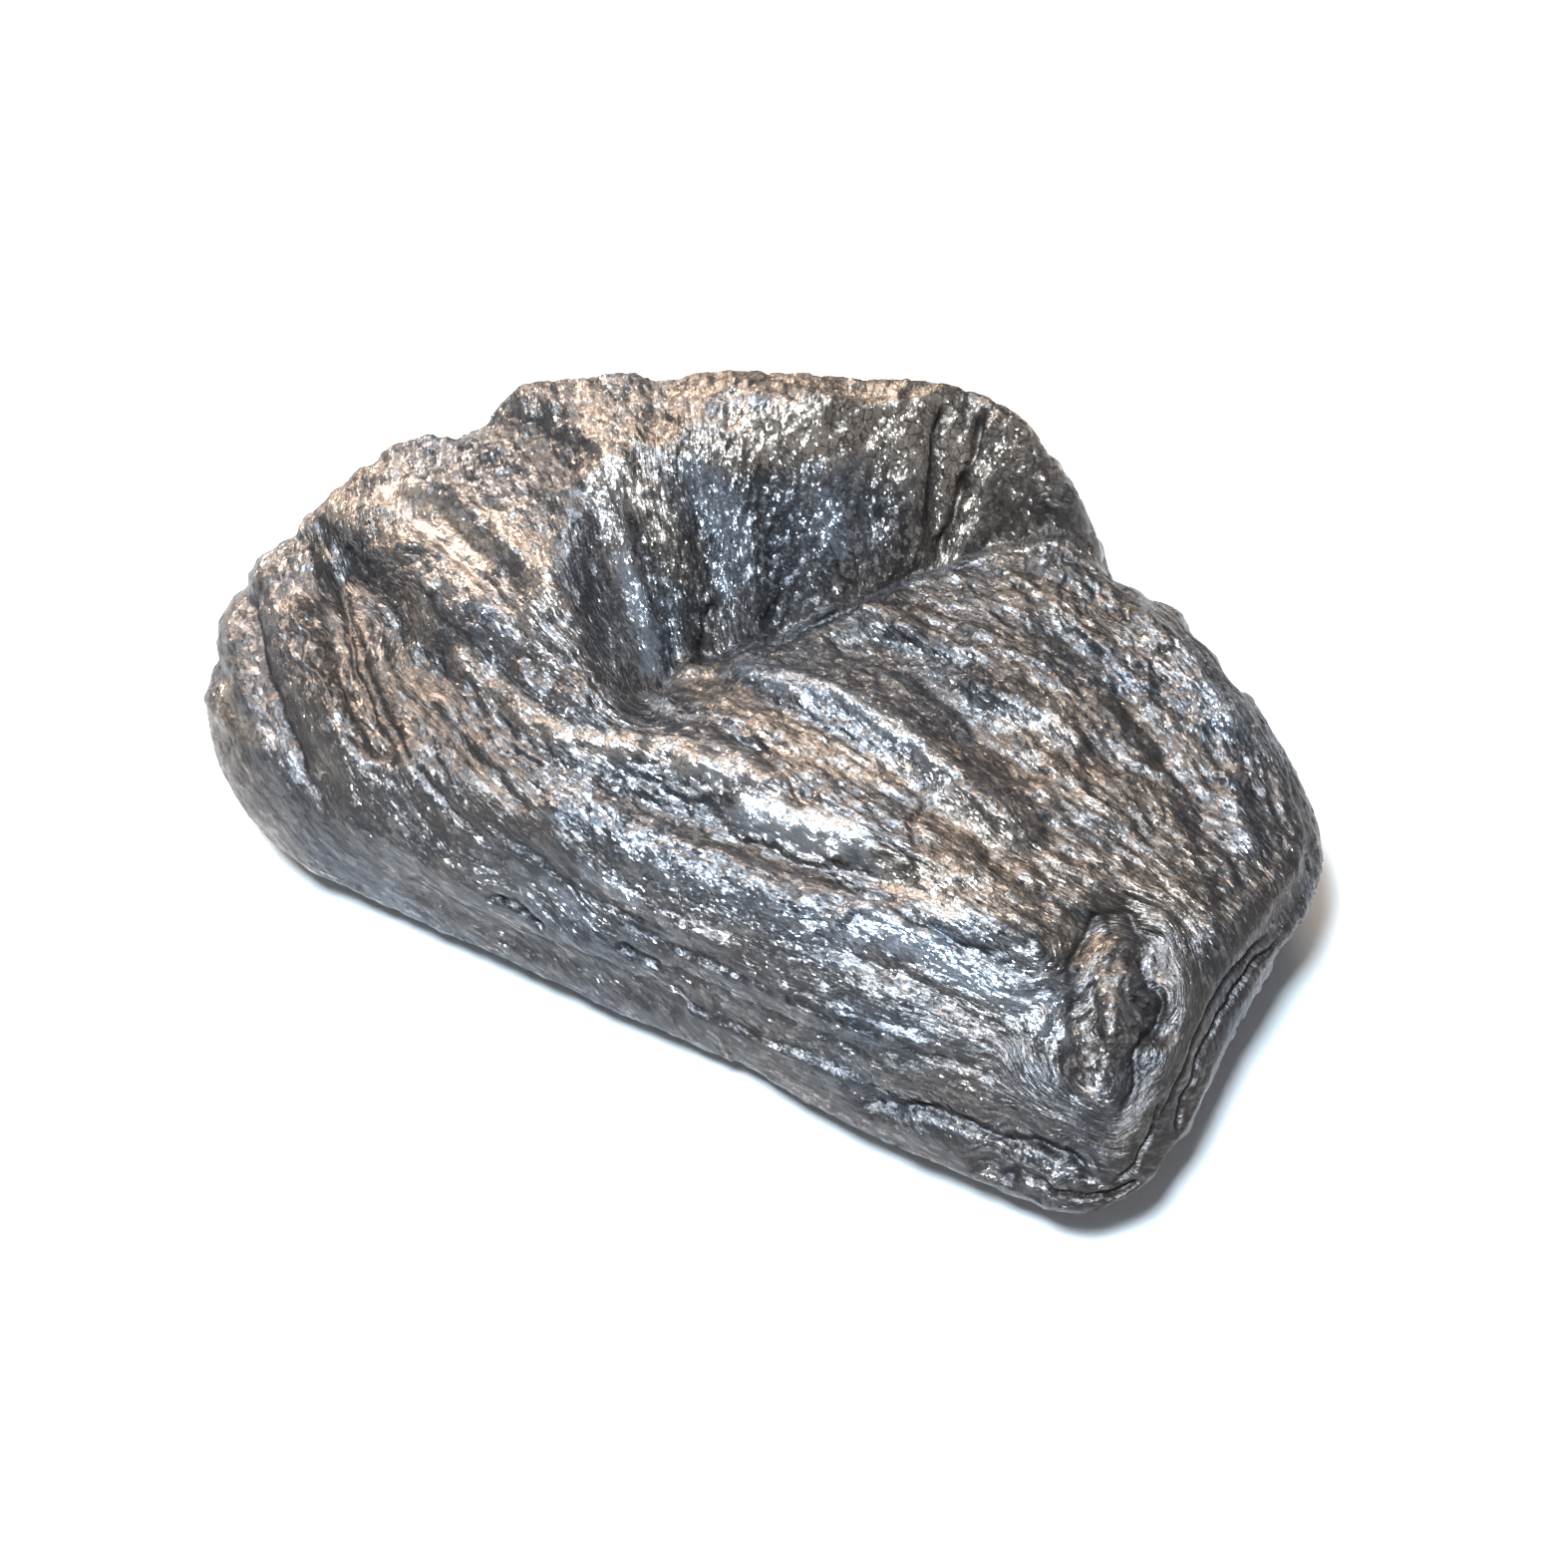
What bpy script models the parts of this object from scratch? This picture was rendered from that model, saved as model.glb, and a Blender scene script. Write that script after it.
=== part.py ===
"""A hand-sized lump of raw vein graphite, one natural solid, resting on a small flat spot.

The lump is a low block with its grain along X. Its back left side stands up as a crest, and a deep
scoop is broken out of that crest. In front of the scoop a tongue of floor runs to the right end, and
a rounded roll along the front ends in a folded knuckle. All points below are in millimetres, placed
as seen from above, and the finished mesh is fitted to the lump's real size and written in metres.
"""

import bmesh
import bpy
import numpy as np

# Driving dimensions of the whole lump, in millimetres.
LENGTH = 71.6
DEPTH = 44.6
HEIGHT = 23.4
MM = 0.001

# Cells of the lattice on the top skin, along and across the grain, and rows down the side.
CELLS_ALONG = 48
CELLS_ACROSS = 46
ROWS_OVER_EDGE = 8
ROWS_UNDER_EDGE = 5

# The widest line round the lump, anticlockwise from the right end: x, y, the height of that line,
# and the width of the rounded shoulder above it.
GIRDLE = [
    (35.8, 2.5, 6.6, 2.6),
    (35.2, 6.2, 6.6, 3.0),
    (33.0, 9.4, 6.4, 3.4),
    (29.4, 12.8, 6.2, 3.6),
    (24.8, 16.2, 6.0, 4.2),
    (19.6, 17.6, 6.0, 4.4),
    (15.8, 19.0, 6.2, 4.2),
    (11.9, 21.2, 6.6, 3.8),
    (7.0, 22.3, 6.6, 3.8),
    (2.0, 21.2, 6.4, 3.8),
    (-3.0, 18.8, 6.2, 4.2),
    (-9.0, 16.2, 6.2, 4.2),
    (-14.5, 13.6, 6.4, 4.4),
    (-20.0, 11.6, 6.4, 4.4),
    (-24.4, 9.0, 6.4, 4.0),
    (-27.4, 5.6, 6.4, 3.6),
    (-31.6, 3.4, 6.6, 4.0),
    (-34.2, -0.8, 6.8, 3.8),
    (-35.6, -5.4, 7.0, 4.2),
    (-35.8, -9.6, 6.8, 4.2),
    (-34.6, -13.8, 6.0, 4.6),
    (-32.4, -17.4, 5.2, 5.2),
    (-28.4, -20.6, 4.2, 5.5),
    (-23.0, -22.2, 3.3, 5.5),
    (-16.0, -22.1, 2.8, 6.0),
    (-9.0, -21.9, 2.6, 6.5),
    (-2.0, -21.9, 2.5, 6.5),
    (5.0, -21.6, 2.5, 6.5),
    (9.5, -21.5, 2.5, 6.5),
    (14.5, -22.1, 2.6, 6.5),
    (19.5, -22.3, 3.0, 6.5),
    (26.0, -22.2, 3.3, 6.5),
    (31.0, -22.0, 3.8, 6.0),
    (34.0, -19.2, 4.6, 5.0),
    (35.0, -14.5, 5.3, 4.5),
    (34.8, -8.0, 6.0, 4.0),
    (35.2, -2.5, 6.6, 3.0),
]

# The small flat spot it rests on, from the right and anticlockwise: x and y of its edge.
REST_SPOT = [
    (14.0, -3.0), (12.0, 2.0), (7.0, 5.0), (1.0, 4.2), (-5.0, 2.6), (-11.0, 0.4),
    (-15.0, -4.4), (-13.0, -9.6), (-6.0, -11.6), (1.0, -11.2), (7.0, -12.0), (12.0, -8.6),
]

# The floor of the lump: the tongue in front of the scoop, the front roll and the right end.
FLOOR_POINTS = [
    (-5.6, -4.3, 11.2), (-5.1, -1.1, 10.8), (-1.7, 1.9, 11.2), (1.3, 5.8, 12.0),
    (5.7, 11.3, 12.6), (11.6, 16.7, 13.2), (17.6, 22.0, 12.4),
    (-2.1, -3.8, 12.3), (2.8, -2.4, 13.3), (8.0, -1.8, 13.8), (14.2, -3.4, 13.6), (19.4, -5.9, 13.0),
    (8.8, 6.2, 13.0), (11.8, 10.3, 13.2), (15.8, 13.7, 13.0), (20.3, 13.1, 12.4),
    (15.9, 4.4, 13.2), (21.9, 4.7, 12.6), (25.9, 9.6, 11.6), (22.7, -1.6, 12.6), (28.2, 1.1, 11.8),
    (31.4, 6.3, 10.8), (32.1, -1.5, 10.6), (36.1, 3.0, 9.6), (27.2, -4.6, 11.8),
    (-8.9, -11.0, 13.4), (-3.0, -10.4, 13.4), (2.2, -10.0, 13.5), (7.3, -9.6, 13.5),
    (12.8, -9.6, 13.4), (18.1, -9.4, 13.1), (23.1, -9.4, 12.4), (27.9, -9.6, 11.0),
    (30.7, -5.6, 10.6), (33.6, -10.9, 8.8), (29.6, -13.4, 9.8), (30.4, -17.0, 8.4), (33.0, -19.4, 7.0),
    (-3.5, -14.0, 12.4), (3.2, -13.6, 12.4), (9.8, -13.4, 12.4), (16.0, -13.2, 12.2), (22.6, -13.2, 11.4),
    (-3.5, -17.6, 10.9), (3.2, -17.4, 10.9), (9.8, -17.2, 10.9), (16.0, -17.0, 10.7), (22.6, -17.0, 9.9),
    (-3.0, -21.5, 8.6), (6.0, -21.5, 8.6), (14.0, -21.5, 8.4), (22.6, -21.5, 7.8),
]

# The high block: the crest along the back, the ridge left of the scoop, the slope down to the lobe.
BLOCK_POINTS = [
    (-23.4, 6.4, 19.3), (-26.0, 4.4, 15.8), (-26.4, 7.0, 15.6), (-19.7, 7.4, 20.4), (-14.6, 9.0, 21.6), (-8.7, 11.8, 22.6),
    (-2.0, 15.0, 22.6), (3.0, 17.4, 21.9), (6.6, 18.6, 21.0), (10.0, 18.9, 19.2), (12.8, 18.4, 16.6),
    (-2.4, 18.0, 22.2), (-12.4, 13.0, 21.8), (7.6, 21.6, 20.4), (-21.4, 9.0, 19.6),
    (-17.8, 3.5, 19.9), (-14.6, -0.7, 19.3), (-11.9, -4.7, 18.2), (-9.4, -7.4, 16.8),
    (-6.6, -9.5, 15.0), (-3.6, -11.4, 13.6),
    (-24.5, 1.2, 16.6), (-27.3, -0.6, 15.0), (-23.0, -4.0, 14.8), (-16.4, -6.1, 16.2),
    (-30.1, -2.8, 13.0), (-20.7, -9.2, 12.9), (-14.8, -11.5, 13.0), (-27.9, 4.2, 16.0),
    (-32.5, -0.6, 13.2), (-29.0, -6.2, 11.4), (-24.0, -11.6, 11.0), (-19.8, -15.2, 11.2),
    (-34.4, -8.0, 10.6), (-28.9, -13.0, 10.0), (-29.6, -17.5, 8.6), (-23.2, -18.6, 9.0),
    (-14.4, -17.6, 11.0), (-7.5, -17.8, 11.0), (-10.0, -14.4, 12.4), (-16.0, -21.5, 8.4), (-8.0, -21.5, 8.6),
    (-7.4, 4.0, 22.2), (1.6, 10.0, 22.0), (-8.4, -3.0, 19.0),
]

# The foot of the scoop's wall, from the front roll round the deep corner to the back right:
# x, y, height, and the rise of the wall per millimetre.
SCOOP_FOOT = [
    (-1.0, -13.0, 13.2, 0.9),
    (-3.8, -9.2, 12.6, 1.0),
    (-5.7, -5.6, 11.4, 1.05),
    (-5.8, -3.2, 10.9, 1.1),
    (-4.6, -0.8, 10.9, 1.2),
    (-2.2, 1.8, 11.2, 1.35),
    (1.2, 5.6, 12.0, 1.5),
    (3.9, 9.0, 12.4, 1.6),
    (5.7, 11.3, 12.6, 1.7),
    (8.5, 14.3, 13.0, 1.7),
    (11.6, 16.7, 13.0, 1.6),
    (15.6, 19.4, 12.6, 1.5),
    (21.6, 23.0, 12.0, 1.5),
]

# Forms on the top skin, as seen from above: rise, half width, and the line each one follows.
TOP_RELIEF = [
    # The upper front roll, the hollow under it, and the lower front roll.
    (0.7, 2.8, [(-8.0, -9.8), (0.0, -9.2), (5.6, -8.9), (11.0, -8.9), (15.0, -9.6), (21.0, -10.4)]),
    (-0.7, 1.9, [(-4.0, -13.0), (0.6, -12.8), (6.4, -12.4), (10.6, -12.0), (14.0, -11.8)]),
    (0.7, 2.4, [(-6.0, -16.2), (1.0, -15.6), (8.0, -15.2), (14.0, -14.2), (20.0, -12.4), (25.4, -11.2)]),
    # The tongue's spine, the troughs beside it, and the notch under its tip.
    (0.8, 2.4, [(-0.6, -1.5), (3.0, -1.3), (6.5, -1.6), (11.0, -2.4), (14.4, -3.6), (18.5, -4.6)]),
    (-0.8, 2.2, [(3.5, 3.6), (8.0, 3.4), (13.0, 1.2), (17.0, -0.6)]),
    (-0.8, 1.6, [(1.2, -6.7), (3.5, -7.2), (6.6, -8.8)]),
    (0.6, 1.8, [(3.2, 7.0), (6.0, 6.2)]),
    # Low lumps along the right side.
    (0.6, 1.8, [(12.4, 4.0), (16.0, 4.0), (19.4, 3.2)]),
    (0.6, 2.0, [(18.6, 13.6), (22.6, 12.0), (26.4, 9.4)]),
    (0.5, 1.6, [(28.6, 5.4), (31.2, 2.2)]),
    (-0.6, 1.6, [(14.0, 10.4), (19.0, 8.6), (24.0, 5.6), (28.0, 2.0)]),
    # The channel that runs down to the deep corner, and the rib beside it.
    (-0.9, 2.2, [(-12.7, 1.7), (-10.4, -0.5), (-8.5, -1.9), (-6.7, -3.7)]),
    (0.6, 2.0, [(-9.6, 4.4), (-8.0, 1.8), (-6.6, -0.4), (-5.6, -2.0)]),
    # Ribs and clefts down the scoop's wall.
    (-0.6, 1.9, [(-7.4, 4.6), (-6.0, 2.4), (-4.9, -0.2)]),
    (0.5, 1.9, [(-6.0, 6.6), (-4.6, 4.6), (-3.3, 2.4)]),
    (-0.6, 1.9, [(-3.8, 8.0), (-2.6, 5.8), (-1.4, 3.4)]),
    (0.5, 1.9, [(-1.8, 9.6), (-0.6, 7.8), (0.4, 5.8)]),
    (-0.6, 1.9, [(0.4, 12.2), (1.4, 10.0), (2.2, 7.8)]),
    (-0.9, 2.0, [(4.0, 17.6), (4.6, 15.2), (4.9, 12.2)]),
    (0.7, 2.6, [(7.6, 17.0), (9.4, 17.4), (11.2, 17.8)]),
    # The rim: a notch in its edge, a hollow, and the thick patch between them.
    (-0.8, 1.8, [(-14.6, 12.0), (-13.0, 9.2), (-12.0, 7.0)]),
    (0.6, 2.4, [(-9.0, 10.8), (-5.4, 11.2), (-3.4, 11.6)]),
    (-0.5, 2.0, [(-1.4, 15.0), (0.2, 12.8)]),
    (-0.9, 2.2, [(-24.4, 5.4), (-20.6, 4.6), (-16.6, 2.8)]),
    # Plates of the left slope, each with a step below it.
    (0.7, 2.4, [(-28.6, -2.6), (-25.4, -3.8), (-20.6, -5.8), (-16.0, -7.6)]),
    (-0.8, 1.9, [(-31.4, -4.4), (-27.0, -6.4), (-22.6, -9.0), (-18.0, -11.0)]),
    (0.6, 2.0, [(-26.4, -0.2), (-22.0, -1.6), (-17.6, -3.6), (-13.4, -5.4)]),
    (-0.5, 1.7, [(-24.6, -1.8), (-20.4, -3.4), (-15.4, -5.8)]),
    # Creases in the left lobe.
    (-0.8, 1.7, [(-28.9, -6.4), (-25.2, -10.8), (-22.1, -13.8), (-19.0, -16.0)]),
    (0.5, 1.8, [(-29.4, -10.4), (-25.4, -14.4), (-21.0, -17.6)]),
    (-0.6, 1.7, [(-33.0, -10.6), (-29.6, -14.4), (-25.6, -17.8), (-21.0, -19.8)]),
    # The folded knuckle: the groove that loops round it, and the dark hollow in its middle.
    (-0.7, 1.8, [(25.2, -11.0), (25.4, -8.2), (27.0, -6.4), (28.6, -7.2), (30.0, -9.0), (31.2, -11.0)]),
    (-0.5, 1.8, [(31.2, -11.0), (30.9, -13.0), (31.7, -15.0), (31.4, -17.4)]),
    (-0.6, 1.8, [(26.2, -11.0), (27.0, -13.4), (29.0, -15.6)]),
    (0.5, 1.6, [(28.6, -10.2), (29.4, -12.6)]),
]

# Forms on the front face, as seen from the front: rise, half width, and a line of x and z.
FRONT_RELIEF = [
    (-0.9, 1.3, [(18.0, 5.4), (23.0, 6.4), (27.0, 6.6), (30.4, 6.2), (33.0, 5.2)]),
    (-1.0, 1.5, [(25.6, 4.6), (27.2, 4.4), (28.8, 4.6)]),
    (0.6, 1.6, [(-15.6, 8.6), (-11.8, 7.8), (-7.0, 7.2), (-2.0, 7.0)]),
    (-0.5, 1.2, [(-14.0, 5.4), (-8.0, 4.8), (-2.0, 5.2), (4.0, 4.6)]),
    (-0.5, 1.2, [(4.0, 6.4), (10.0, 6.6), (16.0, 6.8)]),
]

# Layers on the right end, as seen from that side: rise, half width, and a line of y and z.
END_RELIEF = [
    (-0.7, 1.4, [(5.0, 8.8), (-4.0, 8.2), (-10.0, 7.2), (-17.0, 6.2)]),
    (0.6, 1.5, [(-2.0, 5.4), (-6.0, 5.0), (-14.0, 4.2)]),
    (-0.6, 1.5, [(10.0, 3.6), (2.0, 3.4), (-6.0, 2.8)]),
]

# Broken ribs, clefts and shelves of the back wall, as seen from behind: rise, half width, x and z.
BACK_RELIEF = [
    (-1.3, 2.0, [(-18.0, 18.0), (-17.0, 12.0), (-17.6, 5.0)]),
    (1.0, 2.4, [(-13.4, 19.0), (-13.0, 12.0), (-14.0, 4.0)]),
    (-1.1, 1.8, [(-9.6, 20.0), (-8.8, 13.0), (-9.8, 6.0)]),
    (0.8, 1.9, [(-6.0, 19.0), (-5.6, 12.0), (-6.4, 5.0)]),
    (-1.5, 2.0, [(-1.6, 20.0), (-2.0, 12.0), (-1.0, 4.0)]),
    (0.7, 2.0, [(2.2, 18.0), (2.2, 10.0), (2.6, 4.0)]),
    (-1.2, 1.8, [(8.2, 17.0), (8.0, 12.0), (8.8, 5.0)]),
    (-1.1, 1.8, [(15.4, 12.0), (15.0, 8.0), (15.8, 3.0)]),
    (0.8, 2.2, [(20.0, 11.0), (20.4, 6.0)]),
    (-0.9, 1.8, [(25.4, 11.0), (25.0, 6.0), (25.6, 3.0)]),
    (1.1, 2.4, [(-24.0, 12.0), (-16.0, 10.6), (-8.0, 12.0)]),
    (0.8, 2.2, [(10.6, 9.4), (15.0, 8.6), (19.6, 9.2)]),
    (-0.9, 1.8, [(-24.0, 14.0), (-27.0, 9.0), (-26.4, 4.0)]),
]

# Ribs and hollows of the underside round the rest spot, as seen from above: rise, half width, line.
UNDER_RELIEF = [
    (0.9, 2.4, [(-32.0, -4.0), (-26.0, -8.0), (-22.0, -14.0)]),
    (-0.8, 2.2, [(-30.0, 1.0), (-25.0, -2.0), (-22.0, -6.0)]),
    (0.8, 2.2, [(-24.0, 6.0), (-16.0, 5.0), (-8.0, 8.0)]),
    (-0.8, 2.2, [(-12.0, 12.0), (-4.0, 12.0), (4.0, 15.0)]),
    (0.9, 2.4, [(2.0, 18.0), (8.0, 13.0), (16.0, 12.0)]),
    (0.9, 2.4, [(20.0, 4.0), (26.0, 6.0), (32.0, 5.0)]),
    (-0.9, 2.4, [(22.0, -1.0), (28.0, -2.0), (33.0, -4.0)]),
    (0.8, 2.2, [(20.0, -9.0), (26.0, -11.0), (32.0, -12.0)]),
    (0.7, 2.0, [(12.0, -17.6), (20.0, -17.0), (28.0, -17.6)]),
    (0.5, 1.8, [(-22.0, -17.6), (-12.0, -18.0), (-2.0, -18.2)]),
]

# Each row under the edge stays this much higher than the next, so that only the rest spot touches.
LEAST_LIFT = 0.3

BRINK_ROUNDING = 2.4
FOOT_ROUNDING = 1.4
SHEET_GIVE = 0.4


def sheet_through(points, give):
    """Height of a springy sheet over hand-set points: sums of r squared log r, plus a tilted plane."""
    pins = np.array(points, float)
    count = len(pins)
    system = np.zeros((count + 3, count + 3))
    system[:count, :count] = bend(pins[:, None, :2], pins[None, :, :2]) + give * np.eye(count)
    system[:count, count] = 1.0
    system[:count, count + 1:] = pins[:, :2]
    system[count:, :count] = system[:count, count:].T
    strength = np.linalg.solve(system, np.append(pins[:, 2], np.zeros(3)))

    def height(x, y):
        place = np.stack([x, y], axis=-1)
        pull = bend(place[..., None, :], pins[:, :2]) @ strength[:count]
        return pull + strength[count] + strength[count + 1] * x + strength[count + 2] * y

    return height


def bend(first, second):
    """The shape one pin gives a springy sheet: r squared times log r."""
    squared = ((first - second) ** 2).sum(axis=-1) + 1e-9
    return 0.5 * squared * np.log(squared)


def smooth_lower(first, second, rounding):
    """The lower of two heights, with the corner between them rounded off."""
    blend = np.clip(0.5 + 0.5 * (second - first) / rounding, 0, 1)
    return second + (first - second) * blend - rounding * blend * (1 - blend)


def smooth_higher(first, second, rounding):
    """The higher of two heights, with the corner between them filled a little."""
    return -smooth_lower(-first, -second, rounding)


def nearest_on_line(x, y, line):
    """Signed distance to a line of points, positive on its left, and the line's own values there."""
    nodes = np.array(line, float)
    best = np.full(x.shape, np.inf)
    signed = np.zeros(x.shape)
    carried = np.zeros(x.shape + (nodes.shape[1] - 2,))
    for start, end in zip(nodes[:-1], nodes[1:]):
        along = end[:2] - start[:2]
        share = ((x - start[0]) * along[0] + (y - start[1]) * along[1]) / (along @ along)
        share = np.clip(share, 0, 1)
        away_x = x - start[0] - share * along[0]
        away_y = y - start[1] - share * along[1]
        distance = np.hypot(away_x, away_y)
        closer = distance < best
        side = np.sign(along[0] * away_y - along[1] * away_x)
        best = np.where(closer, distance, best)
        signed = np.where(closer, distance * side, signed)
        values = start[2:] + share[..., None] * (end[2:] - start[2:])
        carried = np.where(closer[..., None], values, carried)
    return signed, carried


def smooth_line(points, steps=6):
    """A smooth open line through the points, with every value carried along it."""
    nodes = np.array(points, float)
    nodes = np.concatenate([2 * nodes[:1] - nodes[1:2], nodes, 2 * nodes[-1:] - nodes[-2:-1]])
    share = np.linspace(0, 1, steps, endpoint=False)[:, None]
    spans = [spline_span(nodes[k:k + 4, None], share) for k in range(len(nodes) - 3)]
    return np.concatenate([*spans, nodes[-2:-1]])


def spline_span(nodes, share):
    """The curve between the second and third of four nodes, by the Catmull-Rom rule."""
    before, here, after, beyond = nodes
    return here + 0.5 * share * (
        after - before
        + share * (2 * before - 5 * here + 4 * after - beyond)
        + share**2 * (3 * (here - after) + beyond - before)
    )


def relief_at(first, second, forms):
    """Sum of raised and sunk forms, each a rounded bump across its line: rise times (1 - t squared) squared."""
    total = np.zeros(first.shape)
    for rise, half_width, line in forms:
        distance, _ = nearest_on_line(first, second, smooth_line(line, 4))
        inside = np.clip(1 - (distance / half_width) ** 2, 0, 1)
        total += rise * inside**2
    return total


def top_height():
    """The lump's upper skin: the floor, and over it the block that the scoop's wall cuts down."""
    foot_line = smooth_line(SCOOP_FOOT)
    floor = sheet_through(FLOOR_POINTS, SHEET_GIVE)
    block = sheet_through(BLOCK_POINTS, SHEET_GIVE)

    def height(x, y):
        distance, foot = nearest_on_line(x, y, foot_line)
        wall = foot[..., 0] + distance * foot[..., 1]
        high = smooth_lower(block(x, y), wall, BRINK_ROUNDING)
        return smooth_higher(floor(x, y), high, FOOT_ROUNDING) + relief_at(x, y, TOP_RELIEF)

    return height


def loop_at(angle, loop):
    """Every value of a closed smooth loop at an angle of the lattice's disc."""
    nodes = np.array(loop, float)
    share = np.linspace(0, 1, 24, endpoint=False)[:, None]
    curve = spline_span([np.roll(nodes, -shift, axis=0)[:, None] for shift in (-1, 0, 1, 2)], share)
    curve = curve.reshape(-1, nodes.shape[1])
    turn = np.arctan2(curve[:, 1] / DEPTH, curve[:, 0] / LENGTH)
    order = np.argsort(turn)
    return np.stack(
        [np.interp(angle, turn[order], curve[order, k], period=2 * np.pi) for k in range(nodes.shape[1])],
        axis=-1,
    )


def drawn_in(girdle, inset):
    """The girdle's plan drawn in by a distance on every side."""
    return girdle[..., 0] * (1 - 2 * inset / LENGTH), girdle[..., 1] * (1 - 2 * inset / DEPTH)


def lattice_disc():
    """A square lattice pressed into a disc: every lattice point's radius and angle."""
    u = np.linspace(-1, 1, CELLS_ALONG + 1)[:, None]
    v = np.linspace(-1, 1, CELLS_ACROSS + 1)[None, :]
    across = u * np.sqrt(1 - v**2 / 2)
    up = v * np.sqrt(1 - u**2 / 2)
    return np.hypot(across, up), np.arctan2(up, across)


def rim_of_lattice():
    """The lattice points on the square's edge, anticlockwise, as index pairs."""
    bottom = [(i, 0) for i in range(CELLS_ALONG)]
    right = [(CELLS_ALONG, j) for j in range(CELLS_ACROSS)]
    top = [(i, CELLS_ACROSS) for i in range(CELLS_ALONG, 0, -1)]
    left = [(0, j) for j in range(CELLS_ACROSS, 0, -1)]
    return np.array(bottom + right + top + left)


def lump_points():
    """Points of the top skin, the rows round the side, and the loop round the rest spot."""
    height = top_height()
    radius, angle = lattice_disc()
    girdle = loop_at(angle, GIRDLE)
    top_x, top_y = drawn_in(girdle, girdle[..., 3])
    top_x = top_x * radius
    top_y = top_y * radius
    top = np.stack([top_x, top_y, height(top_x, top_y)], axis=-1)

    rim = rim_of_lattice()
    edge = girdle[rim[:, 0], rim[:, 1]]
    rest = loop_at(angle[rim[:, 0], rim[:, 1]], REST_SPOT)
    rows = []
    for row in range(1, ROWS_OVER_EDGE + 1):
        turn = 0.5 * np.pi * row / ROWS_OVER_EDGE
        x, y = drawn_in(edge, edge[:, 3] * (1 - np.sin(turn)))
        z = edge[:, 2] + (height(x, y) - edge[:, 2]) * np.cos(turn)
        rows.append(with_side_relief(x, y, z, np.sin(turn)))
    for row in range(1, ROWS_UNDER_EDGE + 1):
        turn = 0.5 * np.pi * row / ROWS_UNDER_EDGE
        x, y = (edge[:, :2] + (rest - edge[:, :2]) * (1 - np.cos(turn))).T
        lumps = np.sin(2 * turn) * relief_at(x, y, UNDER_RELIEF)
        z = edge[:, 2] * (1 - np.sin(turn)) - lumps
        lowest = LEAST_LIFT * (ROWS_UNDER_EDGE - row)
        rows.append(with_side_relief(x, y, np.maximum(z, lowest), np.cos(turn)))
    return top, np.array(rows), rim


def fit_to_size(points):
    """Scales and centres the points, so that the lump has its length, depth and height."""
    low = points.min(axis=0)
    size = points.max(axis=0) - low
    wanted = np.array([LENGTH, DEPTH, HEIGHT])
    return ((points - low) / size - np.array([0.5, 0.5, 0.0])) * wanted


def with_side_relief(x, y, z, share):
    """A row's points with a share of the forms on the front, the right end and the back pushed in or out."""
    on_front = np.clip((-y - 0.35 * DEPTH) / 4, 0, 1)
    on_end = np.clip((x - 0.4 * LENGTH) / 3, 0, 1)
    on_back = np.clip((y + 0.05 * DEPTH) / 6, 0, 1)
    pushed_x = x + share * on_end * relief_at(y, z, END_RELIEF)
    pushed_y = y + share * (on_back * relief_at(x, z, BACK_RELIEF) - on_front * relief_at(x, z, FRONT_RELIEF))
    return np.stack([pushed_x, pushed_y, z], axis=-1)


def build_lump():
    """The closed mesh: lattice faces on top, rows of faces round the side, one flat face to rest on."""
    top, rows, rim = lump_points()
    ring = len(rim)
    points = fit_to_size(np.concatenate([top.reshape(-1, 3), rows.reshape(-1, 3)]))
    mesh = bmesh.new()
    verts = [mesh.verts.new(point) for point in points * MM]
    stride = CELLS_ACROSS + 1
    for i in range(CELLS_ALONG):
        for j in range(CELLS_ACROSS):
            corner = i * stride + j
            mesh.faces.new([verts[corner + step] for step in (0, stride, stride + 1, 1)])
    above = rim[:, 0] * stride + rim[:, 1]
    for row in range(len(rows)):
        below = len(top.reshape(-1, 3)) + row * ring + np.arange(ring)
        for k in range(ring):
            following = (k + 1) % ring
            mesh.faces.new([verts[above[k]], verts[below[k]], verts[below[following]], verts[above[following]]])
        above = below
    mesh.faces.new([verts[k] for k in above[::-1]])
    bmesh.ops.recalc_face_normals(mesh, faces=mesh.faces)
    data = bpy.data.meshes.new("graphite_lump")
    mesh.to_mesh(data)
    mesh.free()
    data.shade_smooth()
    lump = bpy.data.objects.new("graphite_lump", data)
    bpy.context.scene.collection.objects.link(lump)
    return lump


def graphite():
    """Dark grey graphite with a metallic sheen."""
    material = bpy.data.materials.new("raw_graphite")
    material.use_nodes = True
    shader = material.node_tree.nodes["Principled BSDF"]
    shader.inputs["Base Color"].default_value = (0.20, 0.20, 0.205, 1.0)
    shader.inputs["Metallic"].default_value = 0.8
    shader.inputs["Roughness"].default_value = 0.42
    return material


for old in list(bpy.data.objects):
    bpy.data.objects.remove(old, do_unlink=True)
build_lump().data.materials.append(graphite())
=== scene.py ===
"""The looks of a raw graphite lump: the view, the table, the light, and the stone's own skin and finish."""

import itertools

import bpy
import numpy as np
from mathutils import Matrix, Vector


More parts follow.
